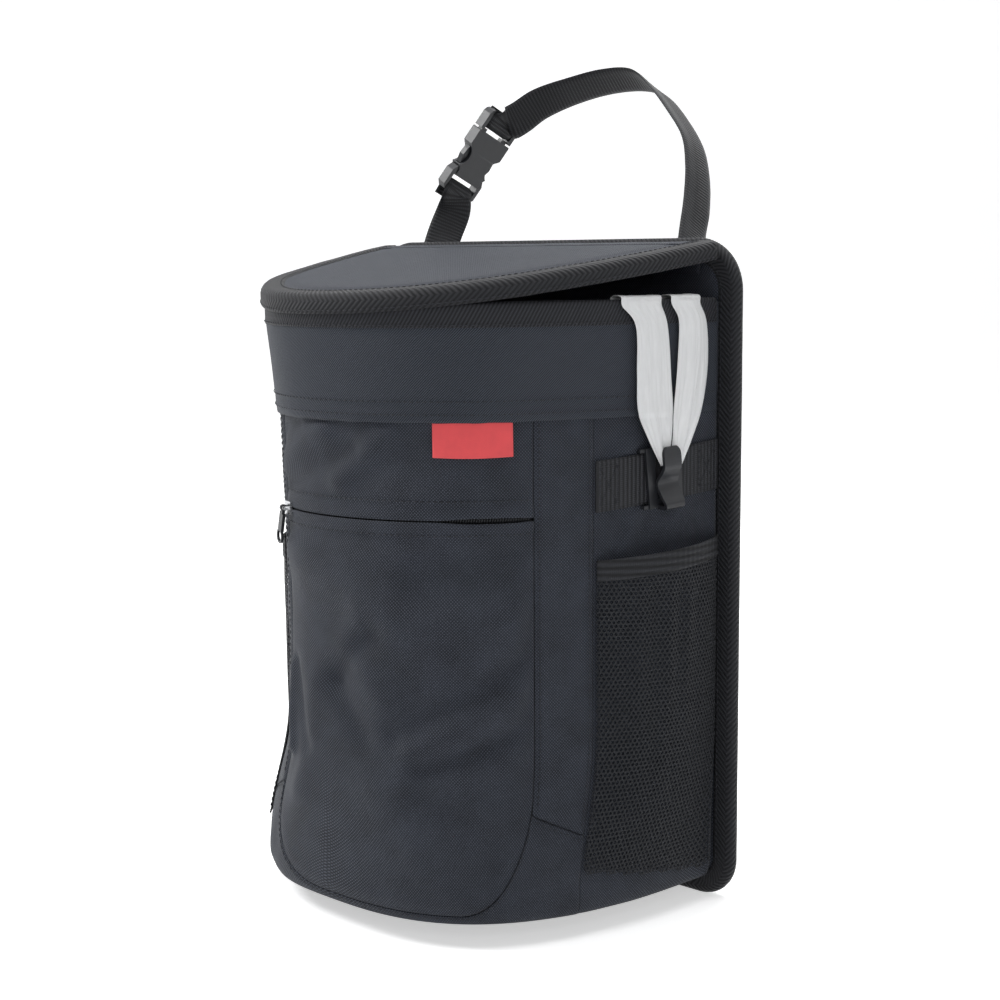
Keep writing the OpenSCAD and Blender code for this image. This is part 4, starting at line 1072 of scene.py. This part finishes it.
class CARBIN_OT_pockets(bpy.types.Operator):
    """Open mesh pockets with their elastic on both sides"""

    bl_idname = "carbin.pockets"
    bl_label = "Mesh pockets"

    def execute(self, context):
        for side, s0, s1 in (("right", SIDE_FROM + 1, SIDE_END - 0.8), ("left", -SIDE_END + 0.8, SIDE_LEFT - 1)):
            self.net(side, s0, s1)
            self.elastic(side, s0, s1)
        return {"FINISHED"}

    def stand(self, s, s0, s1, t):
        """How far the pocket stands off the side, with its gathers under the elastic."""
        u = min(1, max(0, (s - s0) / (s1 - s0)))
        pleat = 0.9 * math.sin(s * 0.42 + 0.9 * math.sin(s * 0.13)) * smooth(0.25, 0.9, t) * smooth(1.0, 0.9, t)
        swell = 1.4 + 9 * max(0, math.sin(math.pi * u)) ** 0.8 * math.sin(math.pi / 2 * t)
        return swell + pleat * math.sin(math.pi * u)

    def net(self, side, s0, s1):
        cell = sizes().net_cell / MM
        one = bmesh.new()
        bmesh.ops.create_circle(one, cap_ends=True, segments=6, radius=cell / math.sqrt(3) * 1.001)
        bmesh.ops.rotate(one, verts=one.verts, cent=(0, 0, 0), matrix=Matrix.Rotation(math.pi / 6, 3, "Z"))
        hole = bmesh.ops.inset_individual(one, faces=one.faces[:], thickness=cell * 0.17, use_even_offset=True)
        bmesh.ops.delete(one, geom=[f for f in one.faces if f not in hole["faces"]], context="FACES")
        corners = [Vector(v.co) for v in one.verts]
        rings = [[v.index for v in f.verts] for f in one.faces]
        one.free()
        bm = bmesh.new()
        front, back = (s0, s1) if s0 > 0 else (s1, s0)
        way = 1 if s0 > 0 else -1
        low, row_step = mesh_low(back), cell * 0.866
        rows = int((elastic_low(front) + 6 - low) / row_step) + 1
        for row in range(rows):
            for col in range(int((s1 - s0) / cell)):
                s = s0 + (col + 0.5 + 0.5 * (row % 2)) * cell
                z = low + (row + 0.5) * row_step
                if not mesh_low(s) < z < elastic_low(s) + 0.8 or s > s1 - 0.4 * cell:
                    continue
                made = [bm.verts.new((s + c.x, z + c.y, 0)) for c in corners]
                for ring in rings:
                    bm.faces.new([made[i] for i in ring])
        bmesh.ops.remove_doubles(bm, verts=bm.verts, dist=cell * 0.08)
        for v in bm.verts:
            s, z = min(s1, max(s0, v.co.x)), v.co.y
            t = (z - mesh_low(s)) / (elastic_low(s) - mesh_low(s))
            v.co = tub(s, z, self.stand(s, s0, s1, min(1, max(0, t)))) * MM
        bm.normal_update()
        outward(bm, TUB_CENTRE)
        piece = thicken(new_piece(f"net_{side}", bm, "net", "tub", [f"mesh_pocket_{side}"]), 0.5, 0)
        tall = np.mean([elastic_low(s) - mesh_low(s) for s in np.linspace(s0, s1, 30)])
        (elastic_low(s0) - low) * 1.08 * MM
        edges = [[tub(s, z, 1.9) for z in np.linspace(z0, 168, 60)]
                 for s, z0 in ((back - way, 24), (front + way * 1.2, 38))]
        topstitch(f"net_stitches_{side}", [line_on(tub, s0, s1, lambda s: mesh_low(s) + 1.2, 1.9, 60), *edges])

    def elastic(self, side, s0, s1):
        def out(s, z):
            across = (z - elastic_low(s)) / ELASTIC_W
            ribs = 0.22 * abs(math.sin(across * math.pi * 5)) ** 0.6
            return self.stand(s, s0, s1, 1) + 0.5 + ribs + 0.12 * math.sin(s * 1.9)

        tub_piece(f"elastic_band_{side}", f"pocket_elastic_{side}", s0, s1, elastic_low,
                  lambda s: elastic_low(s) + ELASTIC_W, 120, 40, out, "elastic", thick=1.0)


class CARBIN_OT_webbing(bpy.types.Operator):
    """Side webbing, its stitched boxes and the moulded bag hooks"""

    bl_idname = "carbin.webbing"
    bl_label = "Webbing and hooks"

    def execute(self, context):
        lines = []
        for side, s0, s1 in (("right", SIDE_FROM + 1, SIDE_END - 0.3), ("left", -SIDE_END + 0.3, SIDE_LEFT - 1)):
            def out(s, z):
                rib = 0.28 * abs(math.sin(math.pi * s / 2.4)) ** 0.7
                return 1.35 + rib * smooth(WEB_W / 2, WEB_W / 2 - 1.5, abs(z - web_mid(s)))

            tub_piece(f"web_{side}", f"hook_webbing_{side}", s0, s1, lambda s: web_mid(s) - WEB_W / 2,
                      lambda s: web_mid(s) + WEB_W / 2, int((s1 - s0) / 0.4), 16, out, "web", 1.3)
            front, back = (s0, s1) if s0 > 0 else (s1, s0)
            way = 1 if s0 > 0 else -1
            high, low = WEB_W / 2 - 3, -WEB_W / 2 + 3
            for a, b in ((front + way * 2, front + way * 12), (back - way * 14, back - way * 3)):
                lines += [self.seam(*ends) for ends in crossed_box((a, high), (b, high), (b, low), (a, low))]
        topstitch("web_stitches", lines, pitch=2.4, thick=0.5)
        for side in ("right", "left"):
            finished_node(f"hook_clip_{side}", "plastic", 0.35)
        return {"FINISHED"}

    def seam(self, a, b):
        """Straight seam on the webbing, its ends given along the outline and up from the webbing's middle."""
        line = []
        for t in np.linspace(0, 1, 20):
            s = mix(a[0], b[0], t)
            line.append(tub(s, web_mid(s) + mix(a[1], b[1], t), 1.75))
        return line


def finished_node(node, finish, round_mm):
    """A node of the frame that keeps its shape, with softened edges and its material."""
    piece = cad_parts[node]
    piece.data.materials.clear()
    piece.data.materials.append(MATERIALS[finish])
    piece.modifiers.new("Joined", "WELD").merge_threshold = MERGE
    bevel = piece.modifiers.new("Soft edges", "BEVEL")
    bevel.width = round_mm * MM
    bevel.segments = 2
    bevel.limit_method = "ANGLE"
    bevel.angle_limit = math.radians(35)


# ---------------------------------------------------------------- lid


class CARBIN_OT_lid(bpy.types.Operator):
    """Stiffened lid, its herringbone tape, stitches and the cloth it turns on"""

    bl_idname = "carbin.lid"
    bl_label = "Lid"

    def execute(self, context):
        self.panel()
        self.tape()
        self.hinge()
        return {"FINISHED"}

    def panel(self):
        inset = -4.0
        centre = Vector((0, FACE_Y - TUB_D * 0.5, 0))

        def ring(u):
            if u < 0.8:
                return lid_edge(mix(-LID_END, LID_END, u / 0.8), inset)
            return lid_edge(LID_END, inset).lerp(lid_edge(-LID_END, inset), (u - 0.8) / 0.2)

        bm = bmesh.new()
        top, under = 0.95, -LID_T + 1.25
        for side, lift in ((1, top), (-1, under)):
            def place(u, v):
                edge = ring(u)
                p = centre.lerp(Vector((edge.x, edge.y, 0)), v)
                away = (1 - v) * 80
                rise = lift - (0.75 * smooth(9, 2, away) if side > 0 else -0.5 * smooth(5, 0, away))
                if side > 0:
                    rise += 0.7 * smooth(8, 16, away) + ripple(p.x, p.y, 50, 0.25, 29) * smooth(10, 30, away)
                    rise -= 0.35 * math.exp(-(((away - 10.5) / 1.2) ** 2))
                rise = mix(rise, (top + under) / 2 - 0.1, smooth(0.985, 1.0, v))
                return Vector((p.x, p.y, lid_top(p.y) + rise))

            surface_grid(bm, 200, 44, place, lambda u, v: tuple(centre.lerp(ring(u), v).xy))
        joined(bm)
        new_piece("lid_cloth", bm, "lid_cloth", "lid", ["lid_panel"])

    def tape(self):
        fold = [(-1.5, -LIP_H + 0.2), (-0.5, -LIP_H - 0.15), (0, -LIP_H + 0.5), (0.15, -6), (0.2, -4), (0.15, -2.2),
                (-0.15, -0.9), (-0.8, 0.2), (-1.8, 0.95), (-3.2, 1.3), (-5.5, 1.35), (-8.5, 1.3),
                (-LID_TAPE_W + 0.6, 1.3), (-LID_TAPE_W, 0.9)]
        across = run_of(fold)
        m = len(fold) - 1
        bm = bmesh.new()

        def place(u, v):
            q = fold[round(v * m)]
            s = mix(-LID_END, LID_END, u)
            wob = ripple(s, round(v * m) * 4, 14, 0.28, 31)
            p = lid_edge(s, q[0] + wob * 0.4)
            return Vector((p.x, p.y, lid_top(p.y) + q[1] + wob * 0.4))

        surface_grid(bm, 280, m, place, lambda u, v: (mix(-LID_END, LID_END, u), across[round(v * m)]))
        facing_up(bm)
        piece = thicken(new_piece("lid_tape", bm, "tape", "lid", ["lid_binding"]), 0.8)
        rows = []
        for out, z in ((-LID_TAPE_W + 1.8, 1.45), (0.25, -LIP_H + 1.6)):
            row = [lid_edge(s, out) for s in np.linspace(-LID_END + 2, LID_END - 2, 300)]
            rows.append([Vector((p.x, p.y, lid_top(p.y) + z)) for p in row])
        topstitch("lid_stitches", rows, "lid")

    def hinge(self):
        """Cloth from the back panel over the hinge line and on to the lid."""
        half = HALF_W - 12
        path = [(-0.35, -15), (-0.5, -8), (-0.7, -2.5), (-1.5, -0.2), (-2.6, 0.55), (-4.5, 0.9), (-9, 0.5),
                (-15, -0.35)]
        run = run_of(path)
        bm = bmesh.new()

        def place(u, v):
            d = v * run[-1]
            y, z = (np.interp(d, run, side) for side in zip(*path))
            x = mix(-half, half, u)
            return Vector((x, FACE_Y + y, HINGE_Z + z + 0.9 + ripple(x, d, 12, 0.15, 37)))

        surface_grid(bm, 90, 40, place, lambda u, v: (mix(-half, half, u), v * run[-1]))
        facing_up(bm)
        piece = thicken(new_piece("hinge_cloth", bm, "cloth", None, ["lid_hinge_strip"]), 0.7)
        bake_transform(piece)


# ---------------------------------------------------------------- inside


def inside_ring(u, z, out, back):
    """Point of the tub's inside, closed across the back panel."""
    wall = collar if z > COLLAR_Z else tub
    reach = SIDE_END - 0.6
    if u < 0.76:
        p = wall(mix(-reach, reach, u / 0.76), z, out)
        return Vector((p.x, min(FACE_Y + back, p.y), z))
    a, b = inside_ring(0.7599, z, out, back), inside_ring(0, z, out, back)
    return Vector((mix(a.x, b.x, (u - 0.76) / 0.24), FACE_Y + back, z))


class CARBIN_OT_inside(bpy.types.Operator):
    """Leak-proof lining, its stiff board and the liner bag with its handles"""

    bl_idname = "carbin.inside"
    bl_label = "Lining and bag"

    def execute(self, context):
        self.cup("lining_cup", "lining", -4.4, -2.4, 0.4, BASE_Z + 4.4, RIM_Z - 2.2, "lining", "lining", 0.9)
        finished_node("base_board", "board", 0.4)
        self.cup("bag_cup", "liner_bag", -6.0, -5.2, 1.9, BASE_Z + 6.2, RIM_Z - 14, "film", "bag_film", 0.12, 0.9)
        self.handles()
        return {"FINISHED"}

    def cup(self, name, node, out, rim_out, back, floor, top, finish, slot, thick, gather=0.0):
        """D-shaped bag of cloth or film inside the tub, from the middle of its floor up to its rim."""
        bm = bmesh.new()
        tall = top - floor
        centre = Vector((0, FACE_Y - TUB_D * 0.45, floor))

        def place(u, v):
            if v < 0.3:
                p = centre.lerp(inside_ring(u, floor, out - 2, -back - 2), v / 0.3)
                return Vector((p.x, p.y, floor + 0.3 * noise.noise(p / 20)))
            t = (v - 0.3) / 0.7
            z = floor + tall * t
            high = smooth(COLLAR_Z - 40, COLLAR_Z, z)
            soft = math.sqrt(max(0, 1 - (1 - min(1, (z - floor) / 4)) ** 2))
            p = inside_ring(u, z, mix(out, rim_out, high) - 2 * (1 - soft), -back - 2 * (1 - soft))
            if gather:
                inward = Vector((centre.x - p.x, centre.y - p.y, 0)).normalized()
                pleat = noise.noise(Vector((u * 46, t * 3, 5))) + 0.5 * noise.noise(Vector((u * 120, t * 9, 2)))
                p += inward * gather * (0.7 + pleat) * smooth(0, 0.1, t)
            return p

        surface_grid(bm, 240, 70, place, lambda u, v: (u * 700, v * 420))
        joined(bm)
        outward(bm, Vector((0, centre.y * MM, 0.16)))
        piece = thicken(new_piece(name, bm, finish, "tub", [node]), thick)

    def handles(self):
        """The bag's two ears on each side, over the rim and down to the hook."""
        gone = -CLOTH_T - 6.6
        top = RIM_Z

        def stations(y, w, rest):
            return [(gone, top - 30, y, w * 1.15), (gone, top - 3, y, w), (gone + 1.2, top + 0.9, y, w),
                    (gone / 2 + 1, top + 1.7, y, w), (1.4, top + 1.1, y, w), (2.3, top - 3, y, w), *rest]

        front = stations(-52, 11.8, [(2.8, top - 12, -47.2, 9.6), (3.6, top - 33, -45.6, 10),
                                     (4.9, top - 52, -45.2, 10.4), (6.3, top - 66, -43.6, 7.6),
                                     (7.6, top - 80, -41.8, 2.5)])
        rear = stations(-24.5, 9.6, [(2.8, top - 12, -20.4, 9), (3.6, top - 33, -21.4, 9.6),
                                     (4.9, top - 52, -25.4, 9.3), (6.3, top - 66, -29.8, 6.3),
                                     (7.6, top - 80, -35, 2.5)])
        for side, mark in ((1, "right"), (-1, "left")):
            for leg, points, seed in (("front", front, 1.0), ("rear", rear, 5.0)):
                self.handle(f"bag_handle_{leg}_{mark}", np.array(points), side, seed)

    def handle(self, name, points, side, seed):
        """One ear through its stations: (out from the wall, height, place from the back, half width)."""
        def place(u, v):
            out, z, y, half = through(points, v * (len(points) - 1))
            q = u * 2 - 1
            down = smooth(0.45, 1.0, v)
            pleats = 0.9 * noise.noise(Vector((q * 3.4 + seed, v * 2.0, seed)))
            pleats += 0.45 * noise.noise(Vector((q * 9 + seed, v * 4, seed + 2)))
            ridge = 0.6 * math.sin(q * (3 + 5 * down) + 2.6 * math.sin(v * 4 + seed)) * (0.25 + down)
            puff = 2.0 * (1 - q * q) * (1 - 0.4 * down)
            edge = 1 + 0.06 * noise.noise(Vector((v * 7, seed, 3 * (q > 0))))
            wall = collar if z > COLLAR_Z else tub
            p = wall(HALF_LEN + y + q * half * edge, z, out)
            centre = Vector((0, FACE_Y - 60, z))
            away = Vector((p.x - centre.x, p.y - centre.y, 0)).normalized()
            outside, at_rim = out > -3, z >= RIM_Z - 1
            lift = (puff + pleats + ridge) * (0.3 if at_rim else 1 if outside else -1)
            p += away * (max(-0.3, lift) if outside else -0.4 * max(0, lift))
            p.z += 0.5 * max(0, pleats) if at_rim else 0
            p.x *= side
            return p

        bm = bmesh.new()
        length, wide = 150, 55
        surface_grid(bm, 40, 110, place, lambda u, v: ((u - 0.5) * 26, v * length))
        if side < 0:
            bmesh.ops.reverse_faces(bm, faces=bm.faces)
        bm.normal_update()
        piece = thicken(new_piece(name, bm, "film", "tub", ()), 0.25, 0)


# ---------------------------------------------------------------- strap and buckle

BUCKLE_WAY = Vector((math.sin(BUCKLE_TILT), math.cos(BUCKLE_TILT) * math.sin(BUCKLE_LEAN),
                     math.cos(BUCKLE_TILT) * math.cos(BUCKLE_LEAN)))
BUCKLE_ACROSS = Vector((0, math.cos(BUCKLE_LEAN), -math.sin(BUCKLE_LEAN)))
BUCKLE_REAR = BUCKLE_WAY.cross(BUCKLE_ACROSS)
# Strap round a bar of the buckle: rearwards from the bar, away from the buckle's middle
BAR_FOLD = ((2.6, 8.2), (2.9, 4.5), (3.35, 0.6), (2.45, -2.3), (0, -3.35), (-2.45, -2.3), (-3.35, 0.6), (-3.6, 3.8))


def strap_fold(bar, way):
    return [(BUCKLE_MID + BUCKLE_WAY * (bar + way * up) + BUCKLE_REAR * rear, BUCKLE_ACROSS) for rear, up in BAR_FOLD]


def sewn_end(x):
    return [((x, 1.3, -33), (1, 0, 0)), ((x, 0.6, -STRAP_SEWN), (1, 0, 0)), ((x, 0.6, -STRAP_SEWN - 10), (1, 0, 0))]


# Middle line of each strap: place, way of its width
LONG_LINE = strap_fold(PLUG_BAR, 1) + [
    ((-65.5, 39.5, 67.5), (0.1, 0.65, -0.75)), ((-61.5, 44.5, 71), (0.05, 0.6, -0.8)),
    ((-53.5, 52.5, 78.5), (-0.05, 0.65, -0.75)), ((-38, 62, 85), (-0.15, 0.75, -0.65)),
    ((-18.5, 70, 89.5), (-0.15, 0.75, -0.6)), ((2, 73, 89), (-0.05, 0.8, -0.55)),
    ((19.5, 70.5, 80.5), (0.05, 0.95, -0.35)), ((36, 65.5, 67), (0.05, 0.95, -0.3)),
    ((51, 59.5, 51.5), (0.05, 0.95, -0.35)), ((61.5, 50, 35), (0.15, 0.9, -0.45)),
    ((69.5, 39, 18.5), (0.2, 0.85, -0.5)), ((76, 27.5, 4), (0.2, 0.8, -0.55)), ((84, 18, -7.5), (0.55, 0.75, -0.4)),
    ((89.5, 9.5, -17), (0.85, 0.5, -0.2)), ((91.6, 3.6, -25.5), (1, 0.12, 0))] + sewn_end(STRAP_X[1])
SHORT_LINE = sewn_end(STRAP_X[0])[::-1] + [
    ((-94, 4.6, -19), (1, 0.12, 0)), ((-95.5, 9.5, -7), (0.9, 0.4, -0.15)), ((-95.5, 16, 6), (0.7, 0.65, -0.3)),
    ((-94, 21, 17.5), (0.5, 0.8, -0.35))] + strap_fold(SOCKET_BAR, -1)[::-1]


class CARBIN_OT_strap(bpy.types.Operator):
    """Ribbed hanging strap in two lengths, its stitches and the side-release buckle"""

    bl_idname = "carbin.strap"
    bl_label = "Strap and buckle"

    def execute(self, context):
        long_strap = self.ribbon("strap_web_long", LONG_LINE, ["strap_long"])
        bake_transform(long_strap)
        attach(self.ribbon("strap_web_short", SHORT_LINE, ["strap_short"]), "tub")
        self.stitches()
        for node, soft in (("buckle_socket", 0.45), ("buckle_plug", 0.4)):
            finished_node(node, "plastic", soft)
        return {"FINISHED"}

    def ribbon(self, name, line, nodes):
        """Ribbed webbing along a middle line, rounded at its edges and closed at its ends."""
        spots, ways = ([Vector(side) for side in column] for column in zip(*line))
        fine = np.linspace(0, len(spots) - 1, 1200)
        middle = [through(spots, t) for t in fine]
        run = np.concatenate([[0], np.cumsum([(b - a).length for a, b in zip(middle, middle[1:])])])
        length = run[-1]
        rows = int(length / STRAP_RIB * 5)

        def frame_at(d):
            t = float(np.interp(d, run, fine))
            ahead, behind = through(spots, min(len(spots) - 1, t + 0.02)), through(spots, max(0, t - 0.02))
            forward = (ahead - behind).normalized()
            lay = through(ways, t)
            wide = (lay - forward * forward.dot(lay)).normalized()
            return through(spots, t), wide, forward.cross(wide)

        bm = bmesh.new()
        n = 20

        def place(u, v):
            d = v * length
            p, wide, thick = frame_at(d)
            k, half = round(u * n) % n, n // 2
            side = 1 if k < half else -1
            q = side * (1 - 2 * (k % half) / (half - 1))
            rib = 0.24 * abs(math.sin(math.pi * (d + 0.06 * q * STRAP_W) / STRAP_RIB)) ** 0.6
            flat = min(1, (1 - abs(q)) / 0.14 + 0.35)
            rise = (STRAP_T / 2 - 0.2) * flat + rib * min(1, (1 - abs(q)) / 0.1)
            return STRAP_FROM + p + wide * (q * STRAP_W / 2) + thick * side * rise

        surface_grid(bm, n, rows, place, lambda u, v: (v * length, round(u * n) * STRAP_W / (n / 2)))
        bmesh.ops.remove_doubles(bm, verts=bm.verts, dist=MERGE)
        bmesh.ops.holes_fill(bm, edges=[e for e in bm.edges if e.is_boundary], sides=0)
        bmesh.ops.recalc_face_normals(bm, faces=bm.faces)
        piece = new_piece(name, bm, "strap", None, nodes)
        return piece

    def stitches(self):
        """Crossed box through each sewn end of the strap."""
        def point(x, a, b, t):
            z = mix(a[1], b[1], t)
            return STRAP_FROM + Vector((x + mix(a[0], b[0], t), 1.45 + 0.6 * smooth(-40, -31, z), z))

        topstitch("strap_stitches", [[point(x, a, b, t) for t in np.linspace(0, 1, 12)] for x in STRAP_X
                                     for a, b in crossed_box((7, -32), (7, -47), (-7, -47), (-7, -32))],
                  pitch=2.3, thick=0.5)


class CARBIN_OT_slider(bpy.types.Operator):
    """Metal zip slider and its black pull"""

    bl_idname = "carbin.slider"
    bl_label = "Zip slider"

    def execute(self, context):
        finished_node("zip_slider", "slider", 0.3)
        finished_node("zip_pull", "plastic", 0.25)
        return {"FINISHED"}


# ---------------------------------------------------------------- stage


# Lamps: name, place and aim in metres, size, power in watts
LAMPS = (
    ("Key", (-1.3, -1.1, 1.75), (0, 0, 0.18), 0.8, 34), ("Fill", (1.5, -1.2, 0.9), (0, 0, 0.18), 1.0, 7),
    ("Top", (0.1, 0.2, 1.9), (0, -0.02, 0.2), 1.4, 26), ("Back", (-0.4, 1.8, 1.0), (0, 0.05, 0.2), 1.3, 10),
)
WORLD_LIGHT = 0.22
# Backdrop in metres: the floor from its front edge to the foot of the curve, the curve, and half the width
FLOOR_FRONT, FLOOR_BACK, CURVE_R, BACKDROP_HALF = -3.0, 2.2, 0.9, 9


def seen_directly(tree):
    """1 for rays that the camera, a gloss or a clear piece sends straight to the backdrop."""
    path = tree.nodes.new("ShaderNodeLightPath")
    ray = path.outputs["Is Camera Ray"]
    for other in ("Is Glossy Ray", "Is Transmission Ray"):
        either = tree.nodes.new("ShaderNodeMath")
        either.operation = "MAXIMUM"
        tree.links.new(ray, either.inputs[0])
        tree.links.new(path.outputs[other], either.inputs[1])
        ray = either.outputs[0]
    return ray


class CARBIN_OT_stage(bpy.types.Operator):
    """Pale floor with a curved backdrop, soft studio lamps and the camera"""

    bl_idname = "carbin.stage"
    bl_label = "Stage"

    def execute(self, context):
        self.floor()
        level = sizes().light
        for name, at, to, size, power in LAMPS:
            self.lamp(name, at, to, size, power * level)
        world = bpy.data.worlds.new("Studio")
        world.use_nodes = True
        bpy.context.scene.world = world
        shade = world.node_tree.nodes["Background"]
        shade.inputs["Color"].default_value = (1, 1, 1, 1)
        seen = seen_directly(world.node_tree)
        spread = world.node_tree.nodes.new("ShaderNodeMapRange")
        spread.inputs["To Min"].default_value = WORLD_LIGHT * level
        spread.inputs["To Max"].default_value = 1
        world.node_tree.links.new(seen, spread.inputs["Value"])
        world.node_tree.links.new(spread.outputs[0], shade.inputs["Strength"])
        bpy.context.scene.view_settings.view_transform = "Standard"
        self.camera()
        return {"FINISHED"}

    def floor(self):
        bm = bmesh.new()
        bmesh.ops.create_grid(bm, x_segments=8, y_segments=60, size=1)
        for v in bm.verts:
            d = (v.co.y + 1) / 2
            turn = min(1, max(0, d - 0.5) / 0.25) * math.pi / 2
            y = mix(FLOOR_FRONT, FLOOR_BACK, min(1, d * 2)) + CURVE_R * math.sin(turn)
            z = CURVE_R * (1 - math.cos(turn)) + max(0, d - 0.75) * 12
            v.co = (v.co.x * BACKDROP_HALF, y, z)
        m = Nodes("Backdrop", (0.93, 0.935, 0.94), 0.9)
        m.tint(m.noise(2, 2), 0.995, 1.005)
        m.set("Emission Color", (1, 1, 1, 1))
        m.link(m.times(seen_directly(m.tree), 0.5), m.shader.inputs["Emission Strength"])
        mesh = mesh_of("Backdrop", bm)
        mesh.transform(Matrix.Rotation(math.radians(CAMERA_TURN[0]), 4, "Z"))
        mesh.materials.append(m.material)
        floor = bpy.data.objects.new("Backdrop", mesh)
        bpy.context.scene.collection.objects.link(floor)

    def lamp(self, name, at, to, size, power):
        data = bpy.data.lights.new(name, "AREA")
        data.size = size
        data.energy = power
        lamp = bpy.data.objects.new(name, data)
        lamp.location = at
        lamp.rotation_euler = (Vector(to) - Vector(at)).to_track_quat("-Z", "Y").to_euler()
        bpy.context.scene.collection.objects.link(lamp)

    def camera(self):
        turn, pitch, roll = (math.radians(a) for a in CAMERA_TURN)
        back = Vector((math.sin(turn) * math.cos(pitch), -math.cos(turn) * math.cos(pitch), math.sin(pitch)))
        right = Vector((math.cos(turn), math.sin(turn), 0))
        up = back.cross(right)
        right, up = right * math.cos(roll) + up * math.sin(roll), up * math.cos(roll) - right * math.sin(roll)
        data = bpy.data.cameras.new("Camera")
        data.lens = CAMERA_LENS
        data.sensor_width = 36
        data.clip_end = 20
        camera = bpy.data.objects.new("Camera", data)
        camera.matrix_world = Matrix.Translation(CAMERA_AT) @ Matrix((right, up, back)).transposed().to_4x4()
        bpy.context.scene.collection.objects.link(camera)
        bpy.context.scene.camera = camera


class CARBIN_PT_panel(bpy.types.Panel):
    """Sizes, colours and pieces of the bin"""

    bl_idname = "CARBIN_PT_panel"
    bl_label = "Car bin"
    bl_space_type = "VIEW_3D"
    bl_region_type = "UI"
    bl_category = "Car bin"

    def draw(self, context):
        for group in (context.scene.car_bin_sizes, context.scene.car_bin_colours):
            for name in group.__annotations__:
                self.layout.prop(group, name)
        for operator in OPERATORS:
            self.layout.operator(operator.bl_idname)


OPERATORS = (CARBIN_OT_materials, CARBIN_OT_stage, CARBIN_OT_back, CARBIN_OT_inside, CARBIN_OT_collar, CARBIN_OT_front,
             CARBIN_OT_sides, CARBIN_OT_pockets, CARBIN_OT_webbing, CARBIN_OT_lid, CARBIN_OT_strap, CARBIN_OT_slider)
CLASSES = (CarBinColours, CarBinSizes, *OPERATORS, CARBIN_PT_panel)


def register():
    for cls in CLASSES:
        bpy.utils.register_class(cls)
    bpy.types.Scene.car_bin_colours = bpy.props.PointerProperty(type=CarBinColours)
    bpy.types.Scene.car_bin_sizes = bpy.props.PointerProperty(type=CarBinSizes)


def unregister():
    del bpy.types.Scene.car_bin_sizes
    del bpy.types.Scene.car_bin_colours
    for cls in reversed(CLASSES):
        bpy.utils.unregister_class(cls)


def main():
    register()
    for operator in OPERATORS:
        group, name = operator.bl_idname.split(".")
        getattr(getattr(bpy.ops, group), name)()


if __name__ == "__main__":
    main()
